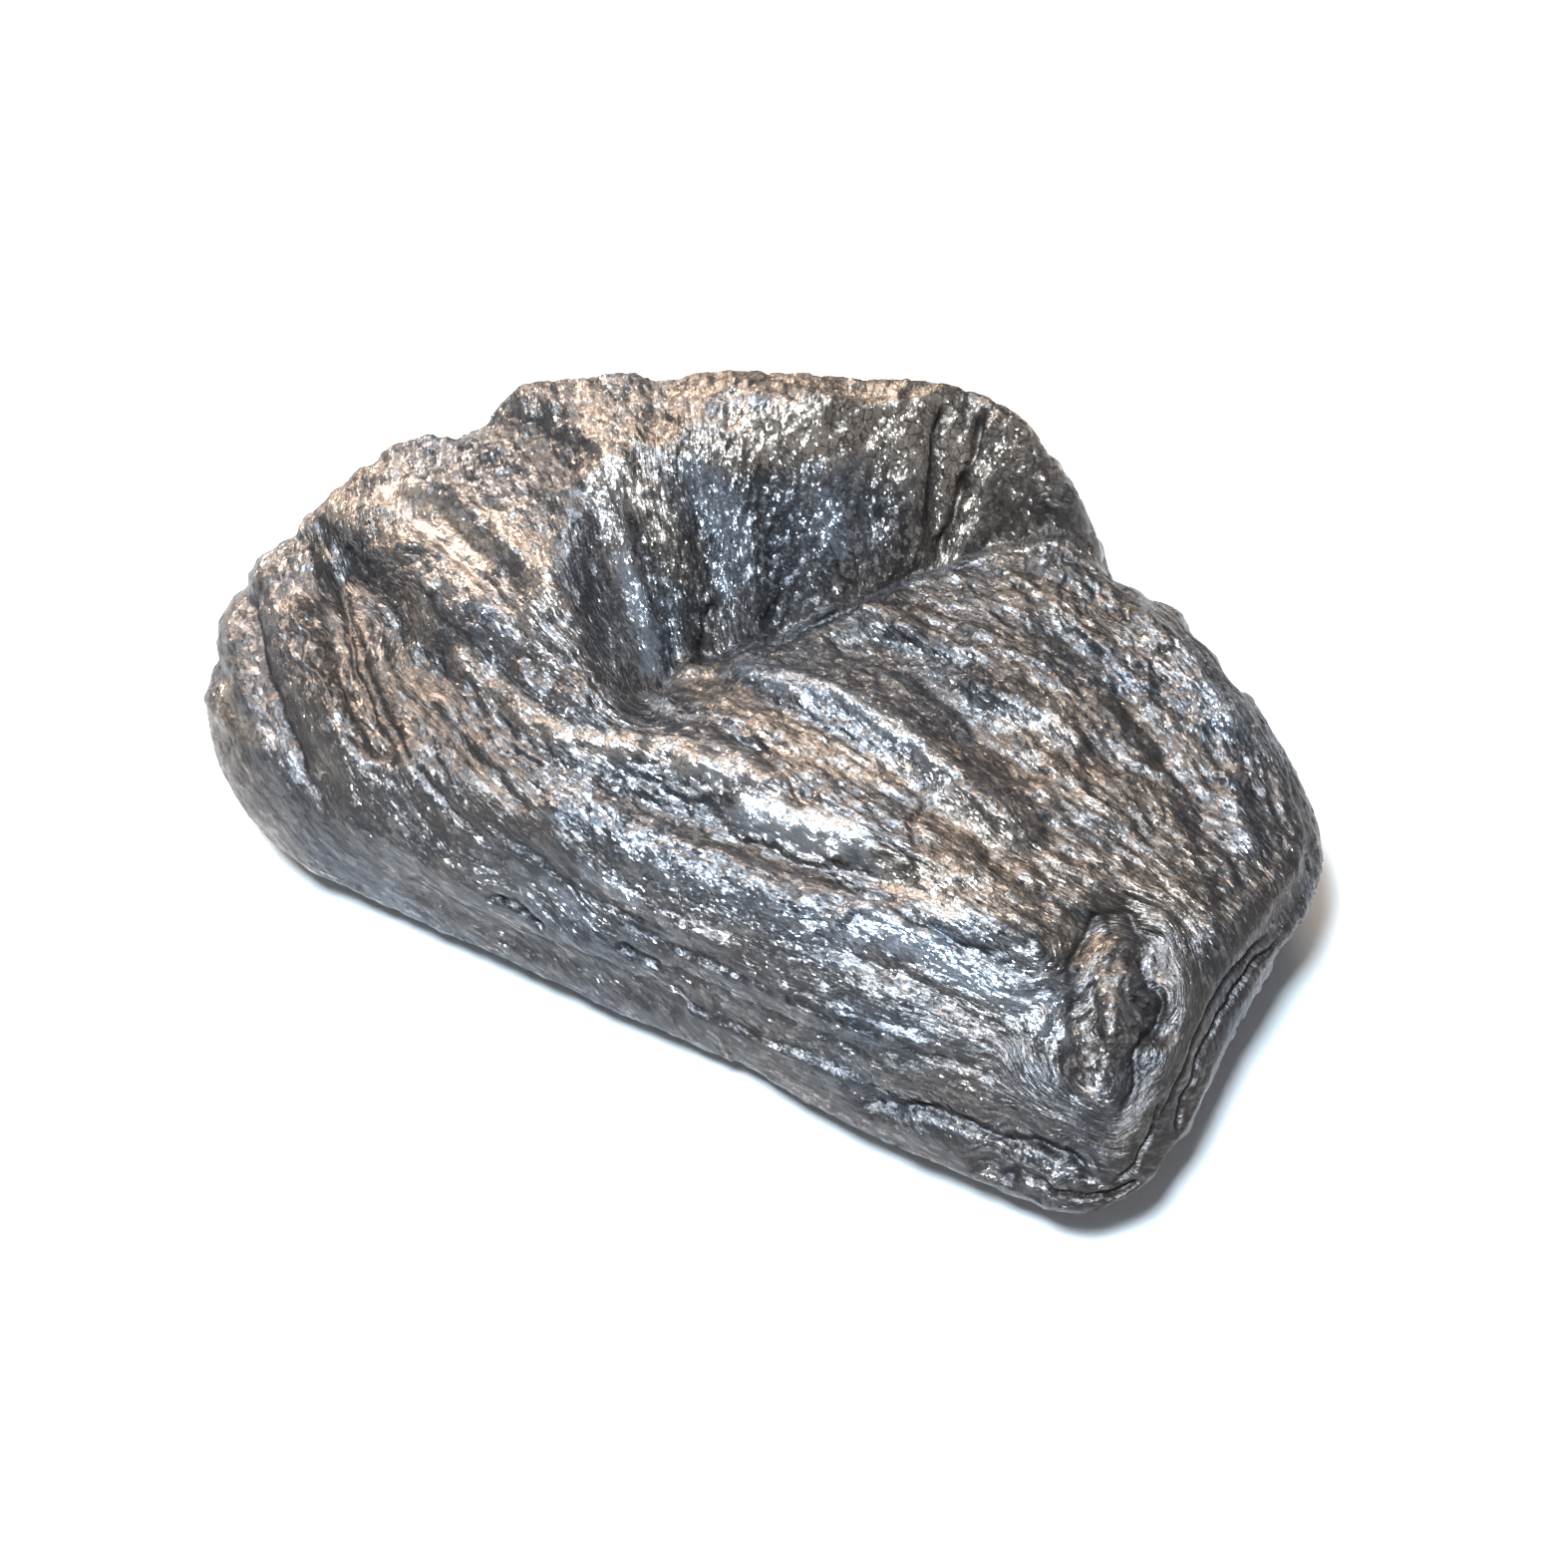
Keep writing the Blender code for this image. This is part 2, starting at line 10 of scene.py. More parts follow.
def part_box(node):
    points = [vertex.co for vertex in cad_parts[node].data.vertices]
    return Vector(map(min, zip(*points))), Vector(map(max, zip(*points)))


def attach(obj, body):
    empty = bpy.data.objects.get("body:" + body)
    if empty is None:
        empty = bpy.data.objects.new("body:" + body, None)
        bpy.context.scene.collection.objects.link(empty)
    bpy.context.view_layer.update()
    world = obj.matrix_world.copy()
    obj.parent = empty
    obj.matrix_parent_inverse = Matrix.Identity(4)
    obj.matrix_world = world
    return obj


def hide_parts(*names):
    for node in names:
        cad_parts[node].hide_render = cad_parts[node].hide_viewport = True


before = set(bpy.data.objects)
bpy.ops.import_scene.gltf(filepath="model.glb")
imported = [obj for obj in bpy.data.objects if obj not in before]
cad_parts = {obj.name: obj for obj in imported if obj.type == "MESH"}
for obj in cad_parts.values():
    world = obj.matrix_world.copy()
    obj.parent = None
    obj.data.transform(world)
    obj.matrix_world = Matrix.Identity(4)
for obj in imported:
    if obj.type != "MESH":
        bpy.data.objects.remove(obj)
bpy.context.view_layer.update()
MM = 0.001


# The view. The stone is looked down on from its right front, close by, as one looks at a specimen on a desk.
# Azimuth and elevation give the direction from the stone to the eye.
VIEW_AZIMUTH = 28.0
VIEW_ELEVATION = 55.0
VIEW_DISTANCE = 178 * MM
VIEW_CENTRE = Vector((3.3, -5.2, 8.0)) * MM
LENS = 65.0

azimuth, elevation = np.radians([VIEW_AZIMUTH, VIEW_ELEVATION])
to_eye = Vector((
    np.sin(azimuth) * np.cos(elevation),
    -np.cos(azimuth) * np.cos(elevation),
    np.sin(elevation),
))
eye_right = Vector((np.cos(azimuth), np.sin(azimuth), 0.0))
eye_up = to_eye.cross(eye_right)
eye_place = VIEW_CENTRE + to_eye * VIEW_DISTANCE
camera = bpy.data.objects.new("camera", bpy.data.cameras.new("camera"))
camera.data.lens = LENS
camera.data.clip_start = 0.01
camera.data.clip_end = 20.0
eye_turn = Matrix((eye_right, eye_up, to_eye)).transposed().to_4x4()
camera.matrix_world = Matrix.Translation(eye_place) @ eye_turn
bpy.context.scene.collection.objects.link(camera)
bpy.context.scene.camera = camera


# The table. A large sheet of matt off-white paper, so wide that its edge is never in view. It lies flat under
# the stone.
PAPER_HALF_WIDTH = 3.0
PAPER_WHITE = (0.86, 0.87, 0.88, 1.0)


def add_nodes(tree, kind, values=None, **settings):
    """A new shader node with its settings, and with values or links on its named or numbered inputs."""
    made = tree.nodes.new(kind)
    for setting, value in settings.items():
        setattr(made, setting, value)
    for socket, value in (values or {}).items():
        if isinstance(value, bpy.types.NodeSocket):
            tree.links.new(value, made.inputs[socket])
        else:
            made.inputs[socket].default_value = value
    return made


def paper_finish():
    """Matt off-white paper: one colour, rough, with little gloss."""
    finish = bpy.data.materials.new("paper")
    finish.use_nodes = True
    tree = finish.node_tree
    shader = tree.nodes["Principled BSDF"]
    shader.inputs["Base Color"].default_value = PAPER_WHITE
    shader.inputs["Roughness"].default_value = 0.85
    shader.inputs["Specular IOR Level"].default_value = 0.2
    return finish


side = np.array([-1.0, 1.0]) * PAPER_HALF_WIDTH
corners = [(side[0], side[0], 0.0), (side[1], side[0], 0.0), (side[1], side[1], 0.0), (side[0], side[1], 0.0)]
paper_mesh = bpy.data.meshes.new("table")
paper_mesh.from_pydata(corners, [], [(0, 1, 2, 3)])
paper_mesh.materials.append(paper_finish())
paper = bpy.data.objects.new("table", paper_mesh)
bpy.context.scene.collection.objects.link(paper)


# The light. A cool soft box close to the eye, a little left of it and above, a warm one low at the far
# left, a wide warm one high behind, and a dim grey room: faces turned to the eye look blue, faces turned up
# look tan.
def soft_box(name, place, width, watts, colour):
    """A square soft light at a place, turned to the middle of the stone."""
    lamp = bpy.data.lights.new(name, "AREA")
    lamp.size = width
    lamp.energy = watts
    lamp.color = colour
    box = bpy.data.objects.new(name, lamp)
    box.location = place
    box.rotation_euler = (VIEW_CENTRE - box.location).to_track_quat("-Z", "Y").to_euler()
    bpy.context.scene.collection.objects.link(box)


ROOM_GREY = (0.93, 0.95, 1.0, 1.0)
ROOM_STRENGTH = 0.2
soft_box("cool_key", eye_place - eye_right * 0.035 + eye_up * 0.075, 0.06, 0.88, (0.77, 0.90, 1.0))
soft_box("warm_side", Vector((-0.26, 0.12, 0.15)), 0.10, 1.1, (1.0, 0.84, 0.70))
soft_box("warm_above", Vector((-0.12, 0.23, 0.37)), 0.24, 0.95, (1.0, 0.84, 0.68))
room = bpy.data.worlds.new("room")
room.use_nodes = True
room.node_tree.nodes["Background"].inputs["Color"].default_value = ROOM_GREY
room.node_tree.nodes["Background"].inputs["Strength"].default_value = ROOM_STRENGTH
bpy.context.scene.world = room
bpy.context.scene.view_settings.view_transform = "Standard"


# The stone's body. One natural lump of vein graphite, broken off in one piece and resting on a small flat
# spot: a low block with its grain along X, a crest at the back left with a deep scoop broken out of it, and
# a rounded roll along the front that ends in a folded knuckle. Points are in millimetres, placed as seen
# from above.
low_corner, high_corner = (np.array(corner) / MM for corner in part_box("graphite_lump"))
LENGTH, DEPTH = (high_corner - low_corner)[:2]

# Cells of the skin along and across the grain, and rows of cells round the side.
CELLS_ALONG = 260
CELLS_ACROSS = 180
ROWS_OVER_EDGE = 48
ROWS_UNDER_EDGE = 8

# The widest line round the stone, anticlockwise from the right end: x, y, its height, and the shoulder's
# width.
GIRDLE = [
    (35.8, 2.5, 6.6, 2.6), (35.2, 6.2, 6.6, 3.0), (33.0, 9.4, 6.4, 3.4), (29.4, 12.8, 6.2, 3.6),
    (24.8, 16.2, 6.0, 4.2), (19.6, 17.6, 6.0, 4.4), (15.8, 19.0, 6.2, 4.2), (11.9, 21.2, 6.6, 3.8),
    (7.0, 22.3, 6.6, 3.8), (2.0, 21.2, 6.4, 3.8), (-3.0, 18.8, 6.2, 4.2), (-9.0, 16.2, 6.2, 4.2),
    (-14.5, 13.6, 6.4, 4.4), (-20.0, 11.6, 6.4, 4.4), (-24.4, 9.0, 6.4, 4.0), (-27.4, 5.6, 6.4, 3.6),
    (-31.6, 3.4, 6.6, 4.0), (-34.2, -0.8, 6.8, 3.8), (-35.6, -5.4, 7.0, 4.2), (-35.8, -9.6, 6.8, 4.2),
    (-34.6, -13.8, 6.0, 4.6), (-32.4, -17.4, 5.2, 5.2), (-28.4, -20.6, 4.2, 5.5),
    (-23.0, -22.2, 3.3, 5.5), (-16.0, -22.1, 2.8, 6.0), (-9.0, -21.9, 2.6, 6.5),
    (-2.0, -21.9, 2.5, 6.5), (5.0, -21.6, 2.5, 6.5), (9.5, -21.5, 2.5, 6.5), (14.5, -22.1, 2.6, 6.5),
    (19.5, -22.3, 3.0, 6.5), (26.0, -22.2, 3.3, 6.5), (31.0, -22.0, 3.8, 6.0), (34.0, -19.2, 4.6, 5.0),
    (35.0, -14.5, 5.3, 4.5), (34.8, -8.0, 6.0, 4.0), (35.2, -2.5, 6.6, 3.0),
]

# The flat spot it rests on, from the right and anticlockwise.
REST_SPOT = [
    (14.0, -3.0), (12.0, 2.0), (7.0, 5.0), (1.0, 4.2), (-5.0, 2.6), (-11.0, 0.4),
    (-15.0, -4.4), (-13.0, -9.6), (-6.0, -11.6), (1.0, -11.2), (7.0, -12.0), (12.0, -8.6),
]

# Heights of the floor: the tongue in front of the scoop, the front roll and the right end.
FLOOR_POINTS = [
    (-5.6, -4.3, 11.2), (-5.1, -1.1, 10.8), (-1.7, 1.9, 11.2), (1.3, 5.8, 12.0),
    (5.7, 11.3, 12.6), (11.6, 16.7, 13.2), (17.6, 22.0, 12.4),
    (-2.1, -3.8, 12.3), (2.8, -2.4, 13.3), (8.0, -1.8, 13.8), (14.2, -3.4, 13.6), (19.4, -5.9, 13.0),
    (8.8, 6.2, 13.0), (11.8, 10.3, 13.2), (15.8, 13.7, 13.0), (20.3, 13.1, 12.4),
    (15.9, 4.4, 13.2), (21.9, 4.7, 12.6), (25.9, 9.6, 11.6), (22.7, -1.6, 12.6), (28.2, 1.1, 11.8),
    (31.4, 6.3, 10.8), (32.1, -1.5, 10.6), (36.1, 3.0, 9.6), (27.2, -4.6, 11.8),
    (-8.9, -11.0, 13.4), (-3.0, -10.4, 13.4), (2.2, -10.0, 13.5), (7.3, -9.6, 13.5),
    (12.8, -9.6, 13.4), (18.1, -9.4, 13.1), (23.1, -9.4, 12.4), (27.9, -9.6, 11.0),
    (30.7, -5.6, 10.6), (33.6, -10.9, 8.8), (29.6, -13.4, 9.8), (30.4, -17.0, 8.4), (33.0, -19.4, 7.0),
    (-3.5, -14.0, 12.4), (3.2, -13.6, 12.4), (9.8, -13.4, 12.4), (16.0, -13.2, 12.2), (22.6, -13.2, 11.4),
    (-3.5, -17.6, 10.9), (3.2, -17.4, 10.9), (9.8, -17.2, 10.9), (16.0, -17.0, 10.7), (22.6, -17.0, 9.9),
    (-3.0, -21.5, 8.6), (6.0, -21.5, 8.6), (14.0, -21.5, 8.4), (22.6, -21.5, 7.8),
]

# Heights of the high block: the crest, the ridge left of the scoop and the slope down to the left lobe.
BLOCK_POINTS = [
    (-23.4, 6.4, 19.3), (-26.0, 4.4, 15.8), (-26.4, 7.0, 15.6), (-19.7, 7.4, 20.4), (-14.6, 9.0, 21.6),
        (-8.7, 11.8, 22.6),
    (-2.0, 15.0, 22.6), (3.0, 17.4, 21.9), (6.6, 18.6, 21.0), (10.0, 18.9, 19.2), (12.8, 18.4, 16.6),
    (-2.4, 18.0, 22.2), (-12.4, 13.0, 21.8), (7.6, 21.6, 20.4), (-21.4, 9.0, 19.6),
    (-17.8, 3.5, 19.9), (-14.6, -0.7, 19.3), (-11.9, -4.7, 18.2), (-9.4, -7.4, 16.8),
    (-6.6, -9.5, 15.0), (-3.6, -11.4, 13.6),
    (-24.5, 1.2, 16.6), (-27.3, -0.6, 15.0), (-23.0, -4.0, 14.8), (-16.4, -6.1, 16.2),
    (-30.1, -2.8, 13.0), (-20.7, -9.2, 12.9), (-14.8, -11.5, 13.0), (-27.9, 4.2, 16.0),
    (-32.5, -0.6, 13.2), (-29.0, -6.2, 11.4), (-24.0, -11.6, 11.0), (-19.8, -15.2, 11.2),
    (-34.4, -8.0, 10.6), (-28.9, -13.0, 10.0), (-29.6, -17.5, 8.6), (-23.2, -18.6, 9.0),
    (-14.4, -17.6, 11.0), (-7.5, -17.8, 11.0), (-10.0, -14.4, 12.4), (-16.0, -21.5, 8.4), (-8.0, -21.5, 8.6),
    (-7.4, 4.0, 22.2), (1.6, 10.0, 22.0), (-8.4, -3.0, 19.0),
]

# The foot of the scoop's wall: x, y, height, and the rise of the wall per millimetre.
SCOOP_FOOT = [
    (-1.0, -13.0, 13.2, 0.9), (-3.8, -9.2, 12.6, 1.0), (-5.7, -5.6, 11.4, 1.05),
    (-5.8, -3.2, 10.9, 1.1), (-4.6, -0.8, 10.9, 1.2), (-2.2, 1.8, 11.2, 1.35), (1.2, 5.6, 12.0, 1.5),
    (3.9, 9.0, 12.4, 1.6), (5.7, 11.3, 12.6, 1.7), (8.5, 14.3, 13.0, 1.7), (11.6, 16.7, 13.0, 1.6),
    (15.6, 19.4, 12.6, 1.5), (21.6, 23.0, 12.0, 1.5),
]

# Forms on the top, as rise, half width and the line each one follows.
TOP_RELIEF = [
    # The upper front roll, the hollow under it, and the lower front roll.
    (0.7, 2.8, [(-8.0, -9.8), (0.0, -9.2), (5.6, -8.9), (11.0, -8.9), (15.0, -9.6), (21.0, -10.4)]),
    (-0.7, 1.9, [(-4.0, -13.0), (0.6, -12.8), (6.4, -12.4), (10.6, -12.0), (14.0, -11.8)]),
    (0.7, 2.4, [(-6.0, -16.2), (1.0, -15.6), (8.0, -15.2), (14.0, -14.2), (20.0, -12.4), (25.4, -11.2)]),
    # The tongue's spine, the troughs beside it, and the notch under its tip.
    (0.8, 2.4, [(-0.6, -1.5), (3.0, -1.3), (6.5, -1.6), (11.0, -2.4), (14.4, -3.6), (18.5, -4.6)]),
    (-0.8, 2.2, [(3.5, 3.6), (8.0, 3.4), (13.0, 1.2), (17.0, -0.6)]),
    (-0.8, 1.6, [(1.2, -6.7), (3.5, -7.2), (6.6, -8.8)]),
    (0.6, 1.8, [(3.2, 7.0), (6.0, 6.2)]),
    # Low lumps along the right side.
    (0.6, 1.8, [(12.4, 4.0), (16.0, 4.0), (19.4, 3.2)]),
    (0.6, 2.0, [(18.6, 13.6), (22.6, 12.0), (26.4, 9.4)]),
    (0.5, 1.6, [(28.6, 5.4), (31.2, 2.2)]),
    (-0.6, 1.6, [(14.0, 10.4), (19.0, 8.6), (24.0, 5.6), (28.0, 2.0)]),
    # The channel that runs down to the deep corner, and the rib beside it.
    (-0.9, 2.2, [(-12.7, 1.7), (-10.4, -0.5), (-8.5, -1.9), (-6.7, -3.7)]),
    (0.6, 2.0, [(-9.6, 4.4), (-8.0, 1.8), (-6.6, -0.4), (-5.6, -2.0)]),
    # Ribs and clefts down the scoop's wall.
    (-0.6, 1.9, [(-7.4, 4.6), (-6.0, 2.4), (-4.9, -0.2)]),
    (0.5, 1.9, [(-6.0, 6.6), (-4.6, 4.6), (-3.3, 2.4)]),
    (-0.6, 1.9, [(-3.8, 8.0), (-2.6, 5.8), (-1.4, 3.4)]),
    (0.5, 1.9, [(-1.8, 9.6), (-0.6, 7.8), (0.4, 5.8)]),
    (-0.6, 1.9, [(0.4, 12.2), (1.4, 10.0), (2.2, 7.8)]),
    (-0.9, 2.0, [(4.0, 17.6), (4.6, 15.2), (4.9, 12.2)]),
    (0.7, 2.6, [(7.6, 17.0), (9.4, 17.4), (11.2, 17.8)]),
    # The rim: a notch in its edge, a hollow, and the thick patch between them.
    (-0.8, 1.8, [(-14.6, 12.0), (-13.0, 9.2), (-12.0, 7.0)]),
    (0.6, 2.4, [(-9.0, 10.8), (-5.4, 11.2), (-3.4, 11.6)]),
    (-0.5, 2.0, [(-1.4, 15.0), (0.2, 12.8)]),
    (-0.9, 2.2, [(-24.4, 5.4), (-20.6, 4.6), (-16.6, 2.8)]),
    # Plates of the left slope, each with a step below it.
    (0.7, 2.4, [(-28.6, -2.6), (-25.4, -3.8), (-20.6, -5.8), (-16.0, -7.6)]),
    (-0.8, 1.9, [(-31.4, -4.4), (-27.0, -6.4), (-22.6, -9.0), (-18.0, -11.0)]),
    (0.6, 2.0, [(-26.4, -0.2), (-22.0, -1.6), (-17.6, -3.6), (-13.4, -5.4)]),
    (-0.5, 1.7, [(-24.6, -1.8), (-20.4, -3.4), (-15.4, -5.8)]),
    # Creases in the left lobe.
    (-0.8, 1.7, [(-28.9, -6.4), (-25.2, -10.8), (-22.1, -13.8), (-19.0, -16.0)]),
    (0.5, 1.8, [(-29.4, -10.4), (-25.4, -14.4), (-21.0, -17.6)]),
    (-0.6, 1.7, [(-33.0, -10.6), (-29.6, -14.4), (-25.6, -17.8), (-21.0, -19.8)]),
    # The folded knuckle: the groove that loops round it, and the dark hollow in its middle.
    (-0.7, 1.8, [(25.2, -11.0), (25.4, -8.2), (27.0, -6.4), (28.6, -7.2), (30.0, -9.0), (31.2, -11.0)]),
    (-0.5, 1.8, [(31.2, -11.0), (30.9, -13.0), (31.7, -15.0), (31.4, -17.4)]),
    (-0.6, 1.8, [(26.2, -11.0), (27.0, -13.4), (29.0, -15.6)]),
    (0.5, 1.6, [(28.6, -10.2), (29.4, -12.6)]),
]

# Forms on the front face, as lines of x and z, and on the right end, as lines of y and z.
FRONT_RELIEF = [
    (-0.9, 1.3, [(18.0, 5.4), (23.0, 6.4), (27.0, 6.6), (30.4, 6.2), (33.0, 5.2)]),
    (-1.0, 1.5, [(25.6, 4.6), (27.2, 4.4), (28.8, 4.6)]),
    (0.6, 1.6, [(-15.6, 8.6), (-11.8, 7.8), (-7.0, 7.2), (-2.0, 7.0)]),
    (-0.5, 1.2, [(-14.0, 5.4), (-8.0, 4.8), (-2.0, 5.2), (4.0, 4.6)]),
    (-0.5, 1.2, [(4.0, 6.4), (10.0, 6.6), (16.0, 6.8)]),
]
END_RELIEF = [
    (-0.7, 1.4, [(5.0, 8.8), (-4.0, 8.2), (-10.0, 7.2), (-17.0, 6.2)]),
    (0.6, 1.5, [(-2.0, 5.4), (-6.0, 5.0), (-14.0, 4.2)]),
    (-0.6, 1.5, [(10.0, 3.6), (2.0, 3.4), (-6.0, 2.8)]),
]

# Ribs, clefts and shelves of the back wall, as lines of x and z, and of the underside, as lines of x and y.
BACK_RELIEF = [
    (-1.3, 2.0, [(-18.0, 18.0), (-17.0, 12.0), (-17.6, 5.0)]),
    (1.0, 2.4, [(-13.4, 19.0), (-13.0, 12.0), (-14.0, 4.0)]),
    (-1.1, 1.8, [(-9.6, 20.0), (-8.8, 13.0), (-9.8, 6.0)]),
    (0.8, 1.9, [(-6.0, 19.0), (-5.6, 12.0), (-6.4, 5.0)]),
    (-1.5, 2.0, [(-1.6, 20.0), (-2.0, 12.0), (-1.0, 4.0)]),
    (0.7, 2.0, [(2.2, 18.0), (2.2, 10.0), (2.6, 4.0)]),
    (-1.2, 1.8, [(8.2, 17.0), (8.0, 12.0), (8.8, 5.0)]),
    (-1.1, 1.8, [(15.4, 12.0), (15.0, 8.0), (15.8, 3.0)]),
    (0.8, 2.2, [(20.0, 11.0), (20.4, 6.0)]),
    (-0.9, 1.8, [(25.4, 11.0), (25.0, 6.0), (25.6, 3.0)]),
    (1.1, 2.4, [(-24.0, 12.0), (-16.0, 10.6), (-8.0, 12.0)]),
    (0.8, 2.2, [(10.6, 9.4), (15.0, 8.6), (19.6, 9.2)]),
    (-0.9, 1.8, [(-24.0, 14.0), (-27.0, 9.0), (-26.4, 4.0)]),
]
UNDER_RELIEF = [
    (0.9, 2.4, [(-32.0, -4.0), (-26.0, -8.0), (-22.0, -14.0)]),
    (-0.8, 2.2, [(-30.0, 1.0), (-25.0, -2.0), (-22.0, -6.0)]),
    (0.8, 2.2, [(-24.0, 6.0), (-16.0, 5.0), (-8.0, 8.0)]),
    (-0.8, 2.2, [(-12.0, 12.0), (-4.0, 12.0), (4.0, 15.0)]),
    (0.9, 2.4, [(2.0, 18.0), (8.0, 13.0), (16.0, 12.0)]),
    (0.9, 2.4, [(20.0, 4.0), (26.0, 6.0), (32.0, 5.0)]),
    (-0.9, 2.4, [(22.0, -1.0), (28.0, -2.0), (33.0, -4.0)]),
    (0.8, 2.2, [(20.0, -9.0), (26.0, -11.0), (32.0, -12.0)]),
    (0.7, 2.0, [(12.0, -17.6), (20.0, -17.0), (28.0, -17.6)]),
    (0.5, 1.8, [(-22.0, -17.6), (-12.0, -18.0), (-2.0, -18.2)]),
]

# How round the scoop's brink and foot are, how far the springy sheets may miss their points, how steeply the
# underside leaves the table, and how finely a closed loop is drawn.
BRINK_ROUNDING = 2.4
FOOT_ROUNDING = 1.0
SHEET_GIVE = 0.4
LEAST_LIFT = 0.9
LOOP_STEPS = 24

# Where the forms of the front, the right end and the back begin, as shares of the depth or the length from
# the middle, and how many millimetres they take to reach their full rise.
FRONT_START, FRONT_FADE = 0.35, 4
END_START, END_FADE = 0.4, 3
BACK_START, BACK_FADE = -0.05, 6


def bend(first, second):
    """The shape one pin gives a springy sheet: r squared times log r."""
    squared = ((first - second) ** 2).sum(axis=-1) + 1e-9
    return 0.5 * squared * np.log(squared)


def sheet_through(pins, give):
    """A springy sheet over pins of x, y and value: the sum of every pin's bend, plus a tilted plane."""
    pins = np.array(pins, float)
    count = len(pins)
    system = np.zeros((count + 3, count + 3))
    system[:count, :count] = bend(pins[:, None, :2], pins[None, :, :2]) + give * np.eye(count)
    system[:count, count] = 1.0
    system[:count, count + 1:] = pins[:, :2]
    system[count:, :count] = system[:count, count:].T
    strength = np.linalg.solve(system, np.append(pins[:, 2], np.zeros(3)))

    def value(x, y):
        spot = np.stack([x, y], axis=-1)
        bends = bend(spot[..., None, :], pins[:, :2]) @ strength[:count]
        return bends + strength[count] + spot @ strength[-2:]

    return value


def smooth_lower(first, second, rounding):
    """The lower of two heights, with the corner between them rounded off."""
    blend = np.clip(0.5 + 0.5 * (second - first) / rounding, 0, 1)
    return second + (first - second) * blend - rounding * blend * (1 - blend)


def spline_span(nodes, share):
    """The curve between the second and third of four nodes, by the Catmull-Rom rule."""
    before, here, after, beyond = nodes
    return here + 0.5 * share * (
        after - before
        + share * (2 * before - 5 * here + 4 * after - beyond)
        + share**2 * (3 * (here - after) + beyond - before)
    )


def smooth_line(points, steps=4):
    """A smooth open line through the points, with every value carried along it."""
    nodes = np.array(points, float)
    nodes = np.concatenate([2 * nodes[:1] - nodes[1:2], nodes, 2 * nodes[-1:] - nodes[-2:-1]])
    share = np.linspace(0, 1, steps, endpoint=False)[:, None]
    spans = [spline_span(nodes[k:k + 4, None], share) for k in range(len(nodes) - 3)]
    return np.concatenate([*spans, nodes[-2:-1]])


def nearest_on_line(x, y, line):
    """Signed distance to a line of points, positive on its left, the share along it, and its values there."""
    nodes = np.array(line, float)
    best = np.full(x.shape, np.inf)
    signed = np.zeros(x.shape)
    along_line = np.zeros(x.shape)
    carried = np.zeros(x.shape + (nodes.shape[1] - 2,))
    for number, (start, end) in enumerate(zip(nodes[:-1], nodes[1:])):
        along = end[:2] - start[:2]
        share = ((x - start[0]) * along[0] + (y - start[1]) * along[1]) / (along @ along)
        share = np.clip(share, 0, 1)
        away_x = x - start[0] - share * along[0]
        away_y = y - start[1] - share * along[1]
        distance = np.hypot(away_x, away_y)
        closer = distance < best
        best = np.where(closer, distance, best)
        signed = np.where(closer, distance * np.sign(along[0] * away_y - along[1] * away_x), signed)
        along_line = np.where(closer, (number + share) / (len(nodes) - 1), along_line)
        carried = np.where(closer[..., None], start[2:] + share[..., None] * (end[2:] - start[2:]), carried)
    return signed, along_line, carried


def relief_at(first, second, forms):
    """Sum of raised and sunk forms, each a rounded bump across its line: rise times (1 - t squared)
    squared."""
    total = np.zeros(first.shape)
    for rise, half_width, line in forms:
        nodes = smooth_line(line)
        near = (np.abs(first - nodes[:, 0].mean()) < np.ptp(nodes[:, 0]) / 2 + 2 * half_width + 2) & (
            np.abs(second - nodes[:, 1].mean()) < np.ptp(nodes[:, 1]) / 2 + 2 * half_width + 2)
        distance, _, _ = nearest_on_line(first[near], second[near], nodes)
        total[near] += rise * np.clip(1 - (distance / half_width) ** 2, 0, 1) ** 2
    return total


foot_line = smooth_line(SCOOP_FOOT, 6)
floor_height = sheet_through(FLOOR_POINTS, SHEET_GIVE)
block_height = sheet_through(BLOCK_POINTS, SHEET_GIVE)


def top_height(x, y):
    """The floor's height, or over it the block's, which the scoop's sloping wall cuts down, plus the top's
    forms."""
    distance, _, foot = nearest_on_line(x, y, foot_line)
    wall = foot[..., 0] + distance * foot[..., 1]
    high = smooth_lower(block_height(x, y), wall, BRINK_ROUNDING)
    return -smooth_lower(-floor_height(x, y), -high, FOOT_ROUNDING) + relief_at(x, y, TOP_RELIEF)


def loop_at(angle, loop):
    """Every value of a closed smooth loop at an angle of the skin's disc."""
    nodes = np.array(loop, float)
    share = np.linspace(0, 1, LOOP_STEPS, endpoint=False)[:, None]
    curve = spline_span([np.roll(nodes, -shift, axis=0)[:, None] for shift in (-1, 0, 1, 2)], share)
    curve = curve.reshape(-1, nodes.shape[1])
    turn = np.arctan2(curve[:, 1] / DEPTH, curve[:, 0] / LENGTH)
    order = np.argsort(turn)
    values = [np.interp(angle, turn[order], column[order], period=2 * np.pi) for column in curve.T]
    return np.stack(values, axis=-1)


def drawn_in(loop, inset):
    """A loop's plan drawn in by a distance on every side."""
    return loop[..., 0] * (1 - 2 * inset / LENGTH), loop[..., 1] * (1 - 2 * inset / DEPTH)


